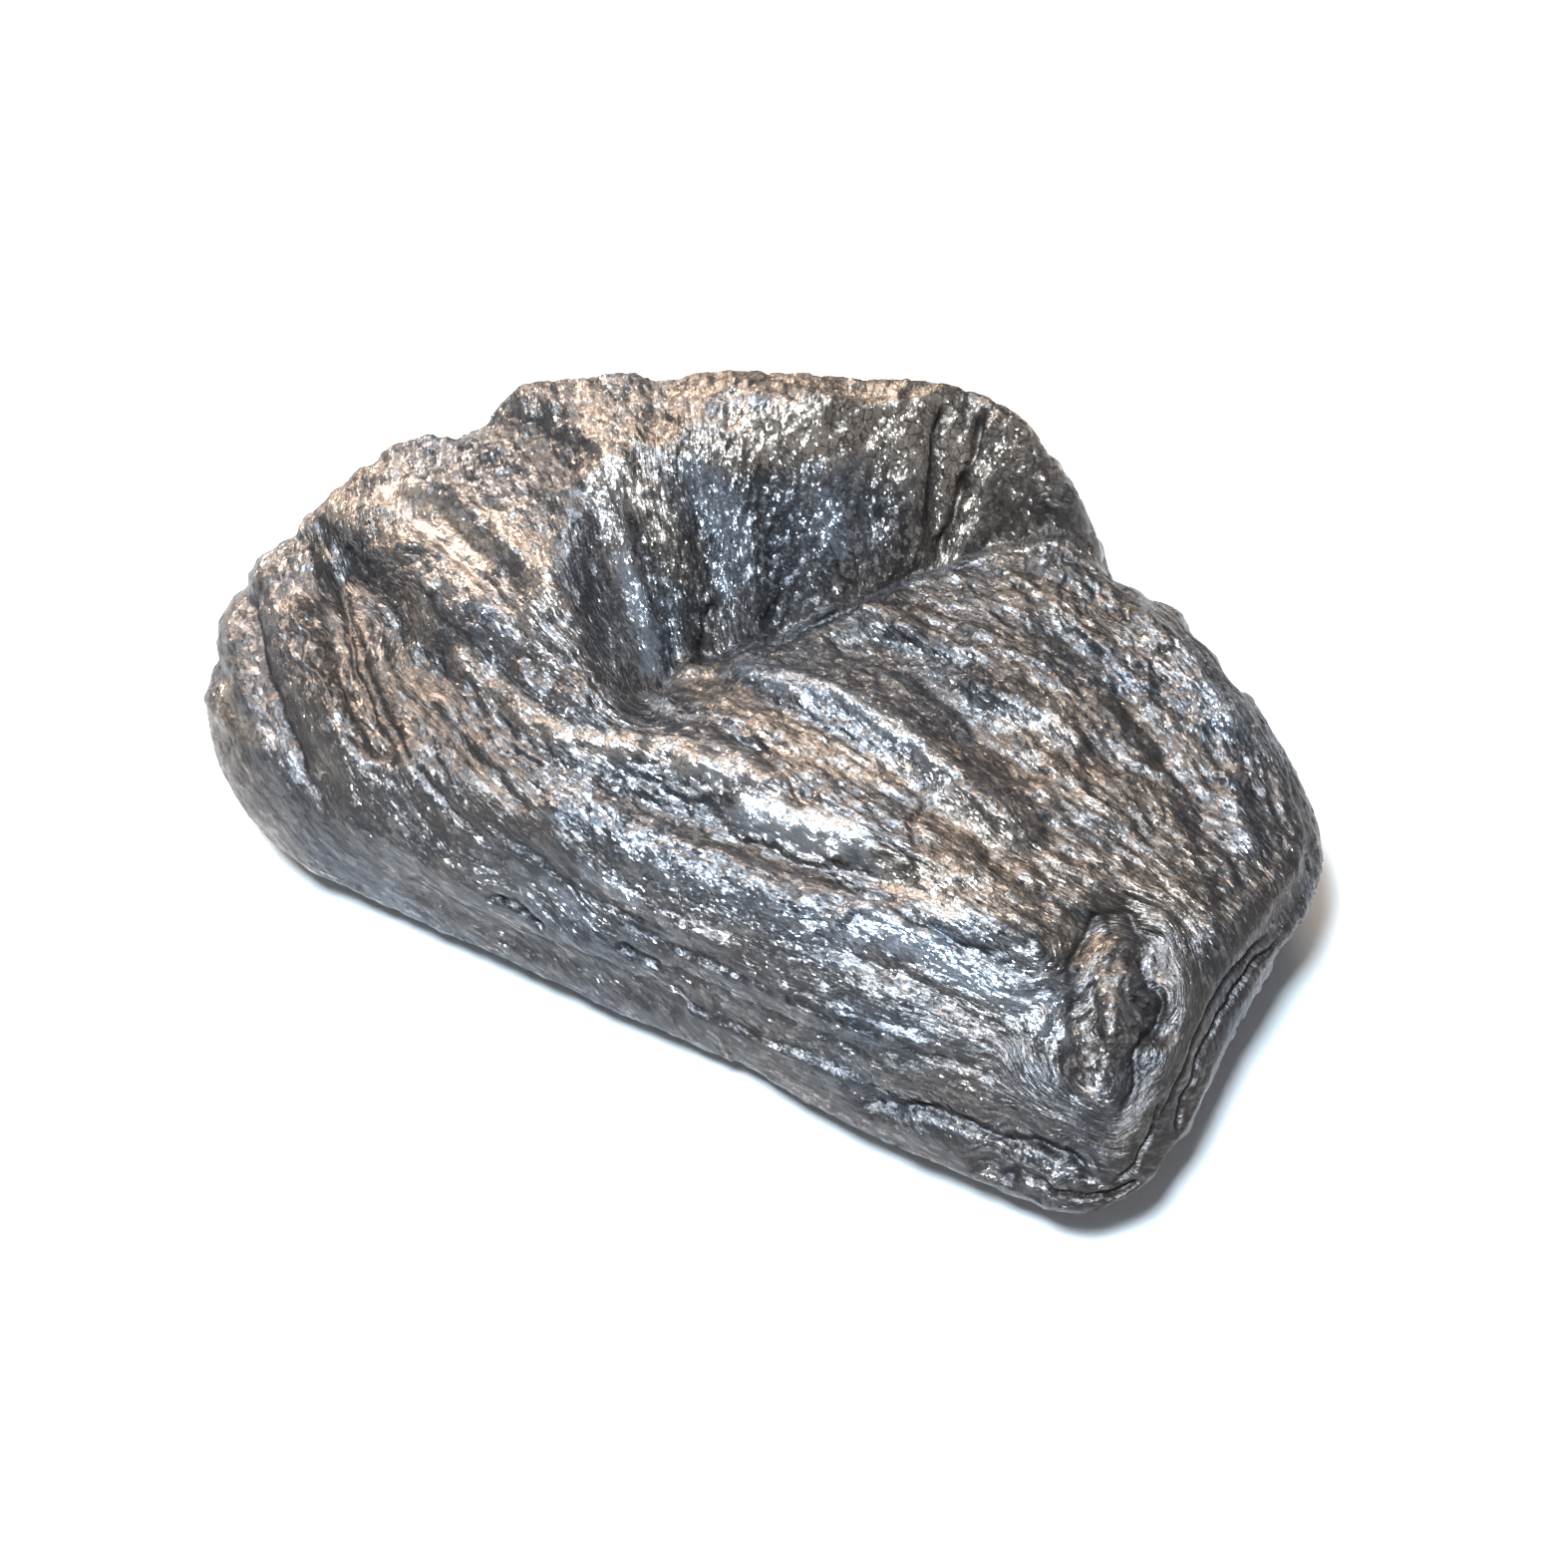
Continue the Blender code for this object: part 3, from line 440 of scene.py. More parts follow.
def with_side_relief(x, y, z, share):
    """A row's points with a share of the forms on the front, the right end and the back pushed in or out."""
    on_front = np.clip((-y - FRONT_START * DEPTH) / FRONT_FADE, 0, 1)
    on_end = np.clip((x - END_START * LENGTH) / END_FADE, 0, 1)
    on_back = np.clip((y - BACK_START * DEPTH) / BACK_FADE, 0, 1)
    pushed_x = x + share * on_end * relief_at(y, z, END_RELIEF)
    pushed_y = y + share * (on_back * relief_at(x, z, BACK_RELIEF) - on_front * relief_at(x, z, FRONT_RELIEF))
    return np.stack([pushed_x, pushed_y, z], axis=-1)


# The top is a square lattice pressed into a disc: u and v run from -1 to 1, and each is shortened by the
# other, u times the root of 1 - v squared / 2. The disc is stretched to the girdle, drawn in by the
# shoulder's width.
u = np.linspace(-1, 1, CELLS_ALONG + 1)[:, None]
v = np.linspace(-1, 1, CELLS_ACROSS + 1)[None, :]
disc_x = u * np.sqrt(1 - v**2 / 2)
disc_y = v * np.sqrt(1 - u**2 / 2)
disc_angle = np.arctan2(disc_y, disc_x)
girdle = loop_at(disc_angle, GIRDLE)
top_x, top_y = (part * np.hypot(disc_x, disc_y) for part in drawn_in(girdle, girdle[..., 3]))
top = np.stack([top_x, top_y, top_height(top_x, top_y)], axis=-1)

# Round the side, rows follow a quarter turn from the top's rim out to the girdle, with the height as the
# cosine, and another quarter turn from the girdle in to the rest spot.
number = np.arange(top[..., 0].size).reshape(top.shape[:2])
rim = np.concatenate([number[:-1, 0], number[-1, :-1], number[:0:-1, -1], number[0, :0:-1]])
edge = girdle.reshape(-1, 4)[rim]
rest = loop_at(disc_angle.reshape(-1)[rim], REST_SPOT)
rows = [top.reshape(-1, 3)[rim]]
for turn in np.linspace(0, 0.5 * np.pi, ROWS_OVER_EDGE + 1)[1:]:
    x, y = drawn_in(edge, edge[:, 3] * (1 - np.sin(turn)))
    z = edge[:, 2] + (top_height(x, y) - edge[:, 2]) * np.cos(turn)
    rows.append(with_side_relief(x, y, z, np.sin(turn)))
for turn in np.linspace(0, 0.5 * np.pi, ROWS_UNDER_EDGE + 1)[1:]:
    x, y = (edge[:, :2] + (rest - edge[:, :2]) * (1 - np.cos(turn))).T
    lumps = np.sin(2 * turn) * relief_at(x, y, UNDER_RELIEF)
    lowest = LEAST_LIFT * (0.5 * np.pi - turn)
    z = np.maximum(edge[:, 2] * (1 - np.sin(turn)) - lumps, lowest)
    rows.append(with_side_relief(x, y, z, np.cos(turn)))
rows = np.array(rows)
place = np.concatenate([top.reshape(-1, 3), rows[1:].reshape(-1, 3)])
place = (place - place.min(axis=0)) / np.ptp(place, axis=0) * (high_corner - low_corner) + low_corner

# The skin laid out flat: as seen from above on the top, and on outwards from its rim by the length of the
# side.
rim_plan = rows[0, :, :2]
outwards = edge[:, :2] - rim_plan
outwards /= np.linalg.norm(outwards, axis=-1, keepdims=True)
side_length = np.linalg.norm(np.diff(rows, axis=0), axis=-1).cumsum(axis=0)
flat_side = rim_plan + outwards * side_length[..., None]
flat = np.concatenate([top[..., :2].reshape(-1, 2), flat_side.reshape(-1, 2)])
down_side = np.concatenate([np.zeros(top[..., 0].size), side_length.reshape(-1)])

# Four-cornered faces between the lattice's points and between the rows, and one flat face at the bottom.
corner = number[:-1, :-1].reshape(-1, 1)
top_faces = corner + np.array([0, CELLS_ACROSS + 1, CELLS_ACROSS + 2, 1])
side_number = top[..., 0].size + np.arange(rows[1:, :, 0].size).reshape(len(rows) - 1, -1)
rings = np.concatenate([rim[None], side_number])
beside = np.roll(rings, -1, axis=1)
side_faces = np.stack([rings[:-1], rings[1:], beside[1:], beside[:-1]], axis=-1).reshape(-1, 4)


# The grain. Flakes of graphite lie in bundles that sweep round the left lobe, run along the front roll and
# fold back round the knuckle. Each line is one bundle on the skin laid out flat, led by its rough distance
# in millimetres from the front edge. A springy sheet through the lines gives every point of the skin its
# number.
BLOCK_GRAIN = [
    (0.5, [(-34.6, -10.3), (-26.7, -16.0), (-20.9, -20.5), (-14.8, -22.8), (-7.6, -24.8)]),
    (3.0, [(-32.8, -5.0), (-26.5, -10.9), (-18.9, -17.2), (-12.7, -21.5), (-4.5, -23.0)]),
    (5.5, [(-24.6, -8.1), (-16.8, -14.5), (-10.5, -18.7), (-2.9, -21.1)]),
    (10.0, [(-20.7, -9.4), (-14.2, -12.7), (-8.6, -14.8), (-0.9, -16.1)]),
    (15.5, [(-25.2, -4.2), (-17.5, -6.7), (-10.2, -9.3), (-4.1, -10.2), (1.1, -9.5)]),
    (18.0, [(-21.3, -3.0), (-14.3, -6.0), (-8.2, -8.0)]),
    (20.5, [(-24.8, 2.8), (-18.3, -1.5), (-12.4, -5.4), (-6.7, -8.2)]),
    (24.5, [(-22.1, 6.3), (-15.6, 0.3), (-11.2, -3.9), (-6.3, -6.6)]),
    (29.0, [(-17.6, 8.7), (-12.9, 4.6), (-9.6, 0.8), (-6.5, -2.4)]),
    (34.5, [(-11.5, 11.1), (-8.5, 5.5), (-5.4, 1.1)]),
    (39.0, [(-5.4, 13.6), (-3.9, 8.7), (-3.8, 4.5), (-2.8, 1.4)]),
    (42.5, [(-2.1, 16.2), (-0.5, 11.7), (0.5, 8.5), (0.8, 5.3)]),
    (46.0, [(2.8, 17.8), (3.5, 13.8), (3.8, 9.3)]),
    (48.5, [(6.4, 17.8), (6.3, 15.8), (5.7, 11.9)]),
    (50.5, [(10.2, 19.2), (8.2, 16.0), (7.5, 14.0)]),
]
FLOOR_GRAIN = [
    (-0.5, [(-14.7, -25.3), (-1.2, -25.9), (14.4, -25.6), (26.2, -23.9)]),
    (2.5, [(-9.0, -22.7), (2.1, -23.0), (13.0, -22.9), (22.4, -20.5), (28.7, -18.9)]),
    (8.0, [(-6.0, -17.3), (3.7, -17.4), (13.6, -16.7), (25.5, -15.5)]),
    (14.0, [(-4.7, -11.7), (4.5, -10.9), (14.1, -11.0), (24.1, -11.5)]),
    (20.5, [(-4.6, -1.9), (3.5, -4.0), (11.4, -5.9), (18.4, -6.6)]),
    (24.0, [(-0.9, 1.8), (7.3, -0.6), (15.0, -2.3), (22.5, -3.9), (28.0, -4.3)]),
    (30.0, [(3.3, 7.6), (10.8, 6.5), (19.3, 2.9), (27.4, -0.1), (33.7, -0.2)]),
    (34.5, [(6.9, 11.6), (15.9, 10.5), (24.4, 6.8), (32.6, 3.7)]),
    (38.0, [(11.8, 16.3), (19.3, 13.7), (26.5, 9.7), (33.1, 6.0)]),
]
GRAIN_GIVE = 2.0

# At the right end the bundles fold back round bundle 14. The knuckle has rings of its own, which fade in
# from the first distance to the second.
FOLD_NUMBER = 14.0
FOLD_START = 25.0
FOLD_NARROWING = 0.9
KNUCKLE_MIDDLE = (28.8, -14.0)
KNUCKLE_STRETCH = 0.5
KNUCKLE_RINGS = (5.5, 3.0)


def grain_sheet(bundles):
    """The springy sheet through every point of the bundles, with the bundle's number as its height."""
    return sheet_through([(x, y, level) for level, line in bundles for x, y in line], GRAIN_GIVE)


def smooth_step(value, start, end):
    """0 before start and 1 after end, with 3 t squared - 2 t cubed between them."""
    share = np.clip((value - start) / (end - start), 0, 1)
    return share * share * (3 - 2 * share)


# Random swells and plates are dealt from packs of this many cards. The scale makes the swells about -1 to 1.
DRAWS = 1024
SWELL_SCALE = 1.7


def card_of(cells, shuffled):
    """The card each cell of space is dealt: its card so far plus its number, shuffled, axis by axis."""
    card = np.zeros(len(cells), int)
    for along in cells.T:
        card = shuffled[(card + along) % DRAWS]
    return card


def wild(spots, seed):
    """Smooth random swells from about -1 to 1 over points of any dimension: random slopes at the whole
    numbers, blended by 6 t^5 - 15 t^4 + 10 t^3."""
    dimensions = spots.shape[-1]
    draw = np.random.default_rng(seed)
    slopes = draw.normal(size=(DRAWS, dimensions))
    slopes /= np.linalg.norm(slopes, axis=-1, keepdims=True)
    shuffled = draw.permutation(DRAWS)
    cell = np.floor(spots).astype(int)
    part = spots - cell
    fade = part**3 * (part * (6 * part - 15) + 10)
    total = np.zeros(len(spots))
    for step in itertools.product((0, 1), repeat=dimensions):
        weight = np.prod(np.where(step, fade, 1 - fade), axis=-1)
        total += weight * ((part - step) * slopes[card_of(cell + step, shuffled)]).sum(axis=-1)
    return SWELL_SCALE * total


def grain_place(length, width):
    """Points of a space with the grain number as a fourth direction, so that cells in it are long along the
    grain and narrow across it."""
    return np.concatenate([place / length, grain[:, None] / width], axis=-1)


def along_grain(length, width, seed):
    """Random swells, long along the grain and narrow across it."""
    return wild(grain_place(length, width), seed)


flat_x, flat_y = flat.T
behind_foot, _, _ = nearest_on_line(flat_x, flat_y, foot_line)

# The grain turns sharply at the foot of the scoop's wall, and gently on the roll in front of it.
seam_width = 0.2 + 3.5 * smooth_step(-flat_y, 4, 11)
on_block = smooth_step(behind_foot / seam_width, -1, 1)
block_level = grain_sheet(BLOCK_GRAIN)(flat_x, flat_y)
floor_level = grain_sheet(FLOOR_GRAIN)(flat_x, flat_y)
level = floor_level + (block_level - floor_level) * on_block
round_knuckle = np.hypot(flat_x - KNUCKLE_MIDDLE[0], KNUCKLE_STRETCH * (flat_y - KNUCKLE_MIDDLE[1]))
grain = np.hypot(level - FOLD_NUMBER, FOLD_NARROWING * np.maximum(flat_x - FOLD_START, 0))
grain += (round_knuckle - grain) * smooth_step(round_knuckle, *KNUCKLE_RINGS) * smooth_step(flat_y, -20, -16)

# Swells make it waver, most of all in the knuckle.
broken_up = 1.6 * smooth_step(round_knuckle, 6, 3)
grain += 0.3 * wild(place / 6, 11) + 0.1 * wild(place / 2, 12) + broken_up * wild(place / 3, 13)


# The map of the skin. Some of it is rubbed smooth and carries a painted highlight, some is rough with bright
# flakes, and rusty clay tints a few places. Each stroke has its painted light (above 0 a painted highlight on
# a smoother skin, below 0 painted shade), its tint (above 0 warm: rusty clay stain in some strokes, a painted
# warm highlight in others; below 0 blue, a painted cool highlight), its share of flakes (below 0 is smooth),
# its half width and its line on the skin laid out flat.
STROKES = [
    (0.0, 0.15, -0.8, 3.0, [(-31.9, -9.2), (-31.1, -15.7), (-28.8, -20.5), (-26.4, -24.3)]),
    (-0.1, 0.1, -0.7, 3.0, [(-28.4, -7.6), (-27.1, -14.8), (-24.3, -19.2), (-19.9, -23.3)]),
    (-0.4, 0.3, -0.4, 1.3, [(-28.4, -6.6), (-22.2, -12.4), (-16.0, -17.0), (-11.5, -20.4)]),
    (-0.5, 0.3, -0.2, 1.6, [(-19.0, -11.0), (-13.6, -14.7), (-8.4, -16.6), (-3.3, -17.2)]),
    (-0.6, 0.3, -0.4, 1.5, [(-12.4, -17.0), (-8.8, -17.4), (-5.0, -18.7)]),
    (0.1, -0.3, -0.9, 2.4, [(-34.6, -10.3), (-29.1, -16.5), (-21.5, -23.9), (-15.3, -24.5), (-7.4, -24.1),
        (-1.5, -24.8)]),
    (0.35, -0.2, -1.0, 1.2, [(-14.0, -18.2), (-10.8, -20.8), (-5.9, -23.0)]),
    (0.9, 0.8, -0.3, 0.9, [(-32.2, -2.2), (-28.5, -3.0), (-25.2, -4.2)]),
    (1.7, 0.8, -0.5, 1.5, [(-27.4, -1.2), (-23.0, -2.5), (-18.8, -4.6)]),
    (0.7, 0.6, 0.0, 1.0, [(-21.0, -5.9), (-17.0, -6.2), (-13.8, -6.9)]),
    (1.1, 0.8, -0.2, 0.9, [(-19.9, -1.2), (-16.0, -3.2), (-12.4, -5.4)]),
    (0.6, 0.6, 0.0, 0.9, [(-23.9, -6.4), (-20.2, -8.8)]),
    (0.8, 0.8, 0.0, 0.9, [(-32.2, -16.5), (-31.6, -18.1), (-27.0, -19.1)]),
    (0.7, 0.7, 0.0, 0.9, [(-17.4, -9.7), (-11.9, -11.4), (-8.6, -12.2)]),
    (0.9, 0.7, 0.0, 1.0, [(-7.3, -12.0), (-3.9, -10.7), (-0.9, -9.8)]),
    (0.5, 0.6, 0.0, 1.0, [(-32.5, -0.9), (-28.4, 0.9)]),
    (0.8, 0.8, 0.2, 1.2, [(-8.3, 9.8), (-5.6, 8.6)]),
    (0.9, 0.8, 0.2, 1.2, [(-4.8, 10.4), (-2.0, 10.5)]),
    (0.5, 0.6, 0.0, 1.0, [(-18.0, 8.2), (-15.6, 5.4)]),
    (0.2, 1.0, 0.0, 2.6, [(-11.5, 11.1), (-6.0, 14.0), (-1.3, 16.0)]),
    (0.15, 1.1, 0.0, 1.9, [(-12.6, 6.5), (-7.0, 8.0), (-2.4, 11.2)]),
    (0.1, 0.8, 0.0, 1.3, [(-11.6, 3.5), (-9.5, 2.2), (-7.9, 1.7)]),
    (-0.6, 0.0, 0.1, 1.8, [(-22.1, 6.3), (-19.2, 4.4), (-15.5, 2.0)]),
    (-0.5, -0.1, -0.2, 1.6, [(-17.1, 2.8), (-13.5, -1.6), (-11.2, -3.9)]),
    (0.6, 0.0, 0.2, 1.5, [(-13.4, 2.6), (-11.2, -0.2), (-9.4, -2.4), (-7.8, -4.2)]),
    (-0.25, 0.0, -0.2, 3.5, [(-24.0, -8.0), (-17.0, -11.0), (-10.0, -13.4)]),
    (0.3, 0.2, 0.0, 1.8, [(-14.4, 11.4), (-12.4, 7.6)]),
    (0.15, -0.2, 0.2, 3.4, [(-7.0, 6.0), (-3.0, 8.0), (1.0, 11.6)]),
    (1.0, -0.5, 0.8, 0.9, [(-10.5, -0.3), (-8.7, -1.6), (-7.1, -3.2)]),
    (1.3, -0.4, 0.0, 0.8, [(-5.8, -5.9), (-4.4, -6.4)]),
    (0.4, -0.6, 0.8, 1.8, [(-8.5, 5.5), (-6.8, 4.8), (-4.8, 3.8)]),
    (-0.6, 0.2, 0.3, 1.2, [(-7.5, 3.4), (-5.3, 0.0)]),
    (-0.6, -0.1, 0.4, 1.5, [(-5.2, 7.2), (-2.9, 5.5), (-2.1, 3.3)]),
    (0.5, -0.5, 0.8, 1.0, [(-0.9, 8.5), (0.1, 7.8)]),
    (-0.5, 0.1, 0.2, 1.3, [(0.7, 12.3), (3.4, 10.0)]),
    (-0.6, 0.0, 0.0, 1.0, [(2.9, 16.0), (3.6, 12.9)]),
    (0.1, 0.7, 0.0, 1.2, [(4.4, 16.1), (5.9, 14.8), (5.5, 12.9)]),
    (0.6, 0.6, 0.1, 3.5, [(-0.4, 14.0), (4.6, 15.6), (8.2, 18.6)]),
    (-0.7, 0.1, -0.2, 1.2, [(7.8, 15.2), (11.3, 17.2), (12.9, 18.7)]),
    (-0.2, -0.3, 0.9, 0.9, [(19.0, -23.6), (26.0, -22.6), (31.0, -21.6)]),
    (-0.15, 0.0, -0.1, 4.5, [(-30.0, -3.0), (-26.0, -9.0), (-19.0, -16.0)]),
    (-0.6, 0.1, 0.0, 1.4, [(4.9, 17.8), (7.1, 16.5), (9.4, 17.7)]),
    (0.1, 0.7, 0.0, 1.4, [(8.4, 14.4), (14.2, 18.2)]),
    (0.0, 0.5, 0.0, 1.6, [(16.8, 14.6), (20.4, 16.3)]),
    (0.9, -0.4, 0.6, 1.1, [(-2.4, -0.7), (1.6, -1.7), (5.8, -1.8), (9.6, -2.5), (13.7, -3.8)]),
    (0.5, 1.1, -0.1, 1.6, [(-5.1, -2.4), (1.3, -4.9), (7.2, -5.6), (11.0, -5.2)]),
    (-0.3, 0.6, -0.1, 3.0, [(13.7, -2.4), (19.0, 0.0), (25.2, 1.0), (32.3, -1.0)]),
    (0.0, 1.0, -0.2, 2.8, [(14.8, -7.2), (19.5, -6.0), (24.4, -5.2), (29.0, -3.6)]),
    (0.45, 1.2, -0.1, 1.6, [(14.1, -11.0), (20.0, -9.9), (25.7, -9.2)]),
    (-0.1, 0.6, 0.0, 2.0, [(10.9, 12.0), (16.3, 12.4), (20.5, 12.6)]),
    (-0.2, -0.6, 0.6, 2.0, [(15.6, 8.1), (20.5, 9.5), (24.9, 8.8)]),
    (0.6, -0.4, 0.5, 1.0, [(14.4, 3.2), (17.5, 3.9)]),
    (0.5, -0.3, 0.5, 1.0, [(21.7, 12.7), (26.7, 9.3)]),
    (0.5, -0.3, 0.5, 0.9, [(29.2, 4.3), (31.6, 1.9)]),
    (0.4, -0.3, 0.5, 0.8, [(12.7, -0.1), (19.0, 0.5)]),
    (-0.5, -0.1, 0.5, 1.4, [(5.6, 4.5), (9.6, 4.7), (14.0, 4.0)]),
    (-0.5, 0.4, -0.3, 2.0, [(31.7, 7.6), (34.3, 4.4), (34.3, 0.3)]),
    (-0.7, 0.2, 0.0, 0.7, [(2.2, -6.6), (6.4, -9.2)]),
    (0.8, 0.1, 0.2, 1.0, [(-0.7, -10.1), (2.5, -9.7), (5.5, -9.0)]),
    (1.5, -0.5, 0.4, 1.1, [(3.7, -11.2), (7.2, -10.7), (11.1, -10.5)]),
    (-0.9, 0.1, -0.2, 1.2, [(1.5, -13.6), (6.3, -13.3), (10.5, -13.2)]),
    (0.9, -0.5, 0.5, 1.2, [(14.3, -14.3), (18.9, -14.1), (23.0, -14.3), (26.8, -14.2)]),
    (0.3, -0.5, 0.6, 1.8, [(12.8, -14.0), (18.1, -13.9), (25.3, -12.6)]),
    (0.9, -0.2, 0.2, 0.7, [(12.8, -11.4), (15.8, -11.8), (18.9, -12.1)]),
    (0.1, -0.5, 0.5, 1.8, [(-6.0, -16.0), (0.0, -16.2), (6.0, -16.8), (13.0, -16.4)]),
    (1.0, -0.4, 0.3, 0.6, [(-5.8, -18.1), (-2.8, -19.0), (0.1, -19.4)]),
    (1.0, -0.4, 0.2, 0.5, [(-6.3, -20.9), (-2.6, -21.9)]),
    (0.05, -0.3, -0.7, 1.8, [(0.9, -21.5), (9.3, -20.7), (18.4, -19.4), (26.8, -18.0)]),
    (-0.1, -0.2, -0.8, 1.6, [(1.8, -25.8), (11.0, -24.8), (19.5, -24.3), (26.3, -24.1)]),
    (-0.6, 0.1, 0.2, 1.7, [(26.4, -10.2), (28.4, -13.5), (30.6, -16.2)]),
    (-0.5, 0.1, -0.4, 2.2, [(25.6, -17.0), (29.0, -19.6), (32.2, -17.6), (33.0, -12.0), (31.8, -7.6)]),
    (-0.6, 0.3, -0.5, 2.0, [(30.6, -6.6), (33.2, -9.6), (33.4, -14.0), (32.6, -18.0)]),
    (-0.3, 0.1, -0.2, 3.2, [(17.0, 8.4), (24.0, 5.4), (31.0, 2.0)]),
    (0.1, 0.7, 0.0, 2.4, [(-4.6, 11.4), (-0.6, 13.6), (4.4, 16.8), (8.4, 18.6)]),
    (-0.35, 0.0, 0.35, 2.6, [(-27.0, -5.0), (-23.4, -9.4), (-19.0, -13.6)]),
    (-0.4, 0.0, -0.3, 2.4, [(-20.6, -12.6), (-13.0, -16.4), (-6.0, -18.6)]),
    (0.3, 0.4, 0.0, 2.6, [(3.0, 15.4), (6.4, 16.6), (8.6, 15.4)]),
    (0.1, 0.5, -0.2, 2.6, [(-8.6, 12.6), (-3.4, 15.0), (2.0, 17.6)]),
    (-0.4, 0.2, -0.9, 3.0, [(33.8, -2.6), (35.2, -6.8), (35.2, -12.3), (34.4, -19.1)]),
]

# How far every point lies beside its true place, so that lines drawn on the skin waver.
ragged = wild(place / 1.6, 21)


def from_ragged_line(line, raggedness, fade=1):
    """Signed distance to a wavering line, and a share that is 1 along it and fades to 0 at its ends."""
    distance, share, _ = nearest_on_line(flat_x, flat_y, smooth_line(line))
    return distance + raggedness * ragged, np.clip(np.minimum(share, 1 - share) * fade, 0, 1)


def painted(strokes):
    """The sum of strokes at every point of the skin: each is full in its middle half and soft outside it."""
    total = np.zeros((len(place), 3))
    for *values, half_width, line in strokes:
        away, _ = from_ragged_line(line, 0.5)
        total += smooth_step(np.abs(away) / half_width, 1.0, 0.5)[:, None] * values
    return total.T


# Painted light, the tint of clay stain and of painted highlights, and the share of flakes, at every point.
polish_and_painted_light, clay_and_painted_light_tint, flakiness = painted(STROKES)


# The broken skin. Bundles stand proud or sink in, plates end in ledges, and cracks run between them.
# Every line is on the skin laid out flat, and its forms move the skin straight out or in.

# Rounded folds: rise, half width and line.
FOLDS = [
    (0.35, 1.1, [(-2.4, -0.7), (1.6, -1.7), (5.8, -1.8), (9.6, -2.5), (13.7, -3.8), (18.0, -5.0)]),
    (-0.35, 0.8, [(-1.0, -2.6), (3.0, -3.6), (7.6, -4.2), (12.4, -5.4)]),
    (0.3, 1.2, [(-0.7, -10.1), (2.5, -9.7), (5.5, -9.0)]),
    (0.3, 1.3, [(3.7, -11.2), (7.2, -10.7), (11.1, -10.5)]),
    (0.35, 1.2, [(12.8, -14.6), (18.9, -14.1), (23.0, -14.3), (27.0, -14.6)]),
    (-0.35, 1.0, [(12.0, -16.6), (18.0, -16.2), (24.0, -16.6)]),
    (0.3, 1.0, [(-5.8, -18.1), (-2.8, -19.0), (0.1, -19.4), (6.0, -19.6)]),
    (0.25, 0.8, [(4.0, -21.4), (12.0, -20.6), (20.0, -19.2)]),
    (-0.3, 0.7, [(2.0, -24.0), (10.0, -24.0), (18.0, -22.6)]),
    (0.35, 1.0, [(12.6, 3.4), (16.3, 3.5), (19.3, 2.9)]),
    (0.3, 0.9, [(19.0, 13.9), (22.7, 12.3), (26.7, 9.3)]),
    (0.3, 0.9, [(28.4, 5.6), (31.6, 1.9)]),
    (-0.4, 0.9, [(4.6, 4.9), (9.6, 4.7), (14.0, 4.0)]),
    (0.4, 0.8, [(-12.6, 2.6), (-10.4, 0.4), (-8.4, -1.2)]),
    (-0.3, 0.8, [(-11.6, -0.8), (-9.4, -2.6), (-7.6, -4.0)]),
    (0.45, 1.8, [(-13.4, 3.4), (-11.4, 0.4), (-9.2, -1.8), (-7.4, -3.6)]),
    (0.35, 0.8, [(-17.4, -9.7), (-11.9, -11.4), (-8.6, -12.2), (-3.9, -10.9)]),
    (-0.35, 0.8, [(-21.0, -11.4), (-15.0, -14.4), (-9.0, -16.6)]),
    (0.3, 0.9, [(-27.6, -8.6), (-22.6, -12.8), (-16.4, -17.0)]),
    (0.3, 0.7, [(-6.4, 12.2), (-3.2, 12.6), (0.4, 15.2)]),
    (-0.3, 0.8, [(-9.6, 13.0), (-6.0, 14.4), (-2.6, 16.4)]),
    (0.4, 0.9, [(27.3, -10.6), (29.0, -12.6), (29.8, -15.4)]),
    (-0.4, 1.0, [(-39.0, -2.0), (-35.6, -3.4), (-32.6, -5.8)]),
    (0.25, 1.0, [(-39.6, -4.8), (-36.4, -6.2), (-33.0, -8.4)]),
    (-0.4, 1.0, [(-40.0, -7.4), (-36.8, -8.6), (-33.4, -10.6)]),
    (0.25, 1.1, [(-40.0, -10.4), (-36.6, -11.6), (-33.0, -13.4)]),
    (-0.4, 1.0, [(-39.4, -13.4), (-36.0, -14.4), (-32.6, -16.2)]),
    (0.25, 1.0, [(-37.6, -17.0), (-34.4, -17.4), (-31.0, -18.8)]),
    (-0.3, 0.9, [(-36.6, 3.4), (-33.0, 2.2), (-29.6, 0.6)]),
]

# Plate edges: rise of the left side, how far back it falls off, and line.
PLATES = [
    (0.55, 3.0, [(-32.4, -2.9), (-28.5, -4.3), (-24.6, -5.3), (-20.4, -7.2), (-16.4, -8.9)]),
    (0.35, 2.0, [(-27.5, -1.6), (-22.0, -3.4), (-17.0, -5.4), (-12.5, -6.8)]),
    (0.30, 1.6, [(-24.0, 1.6), (-19.0, -1.0), (-15.0, -3.4), (-11.6, -5.4)]),
    (0.60, 1.8, [(0.4, -6.0), (3.4, -7.0), (6.9, -9.4)]),
    (0.40, 1.6, [(3.0, -12.4), (7.0, -12.0), (11.2, -11.7)]),
    (0.35, 1.4, [(12.0, -12.2), (16.0, -12.7), (20.0, -12.9)]),
    (0.30, 1.4, [(-14.4, 10.4), (-13.2, 9.2), (-11.0, 7.0)]),
    (0.35, 1.5, [(8.0, 7.4), (13.0, 7.0), (18.0, 5.6)]),
    (0.30, 1.3, [(14.0, 1.0), (20.0, -0.2), (26.0, -1.4)]),
    (0.30, 1.4, [(6.0, 1.4), (11.0, 0.6), (15.0, -0.6)]),
    (0.35, 1.2, [(-31.0, -9.0), (-26.4, -13.6), (-21.0, -17.4)]),
    (0.30, 1.2, [(22.0, 4.4), (27.0, 2.4), (32.0, 1.4)]),
]

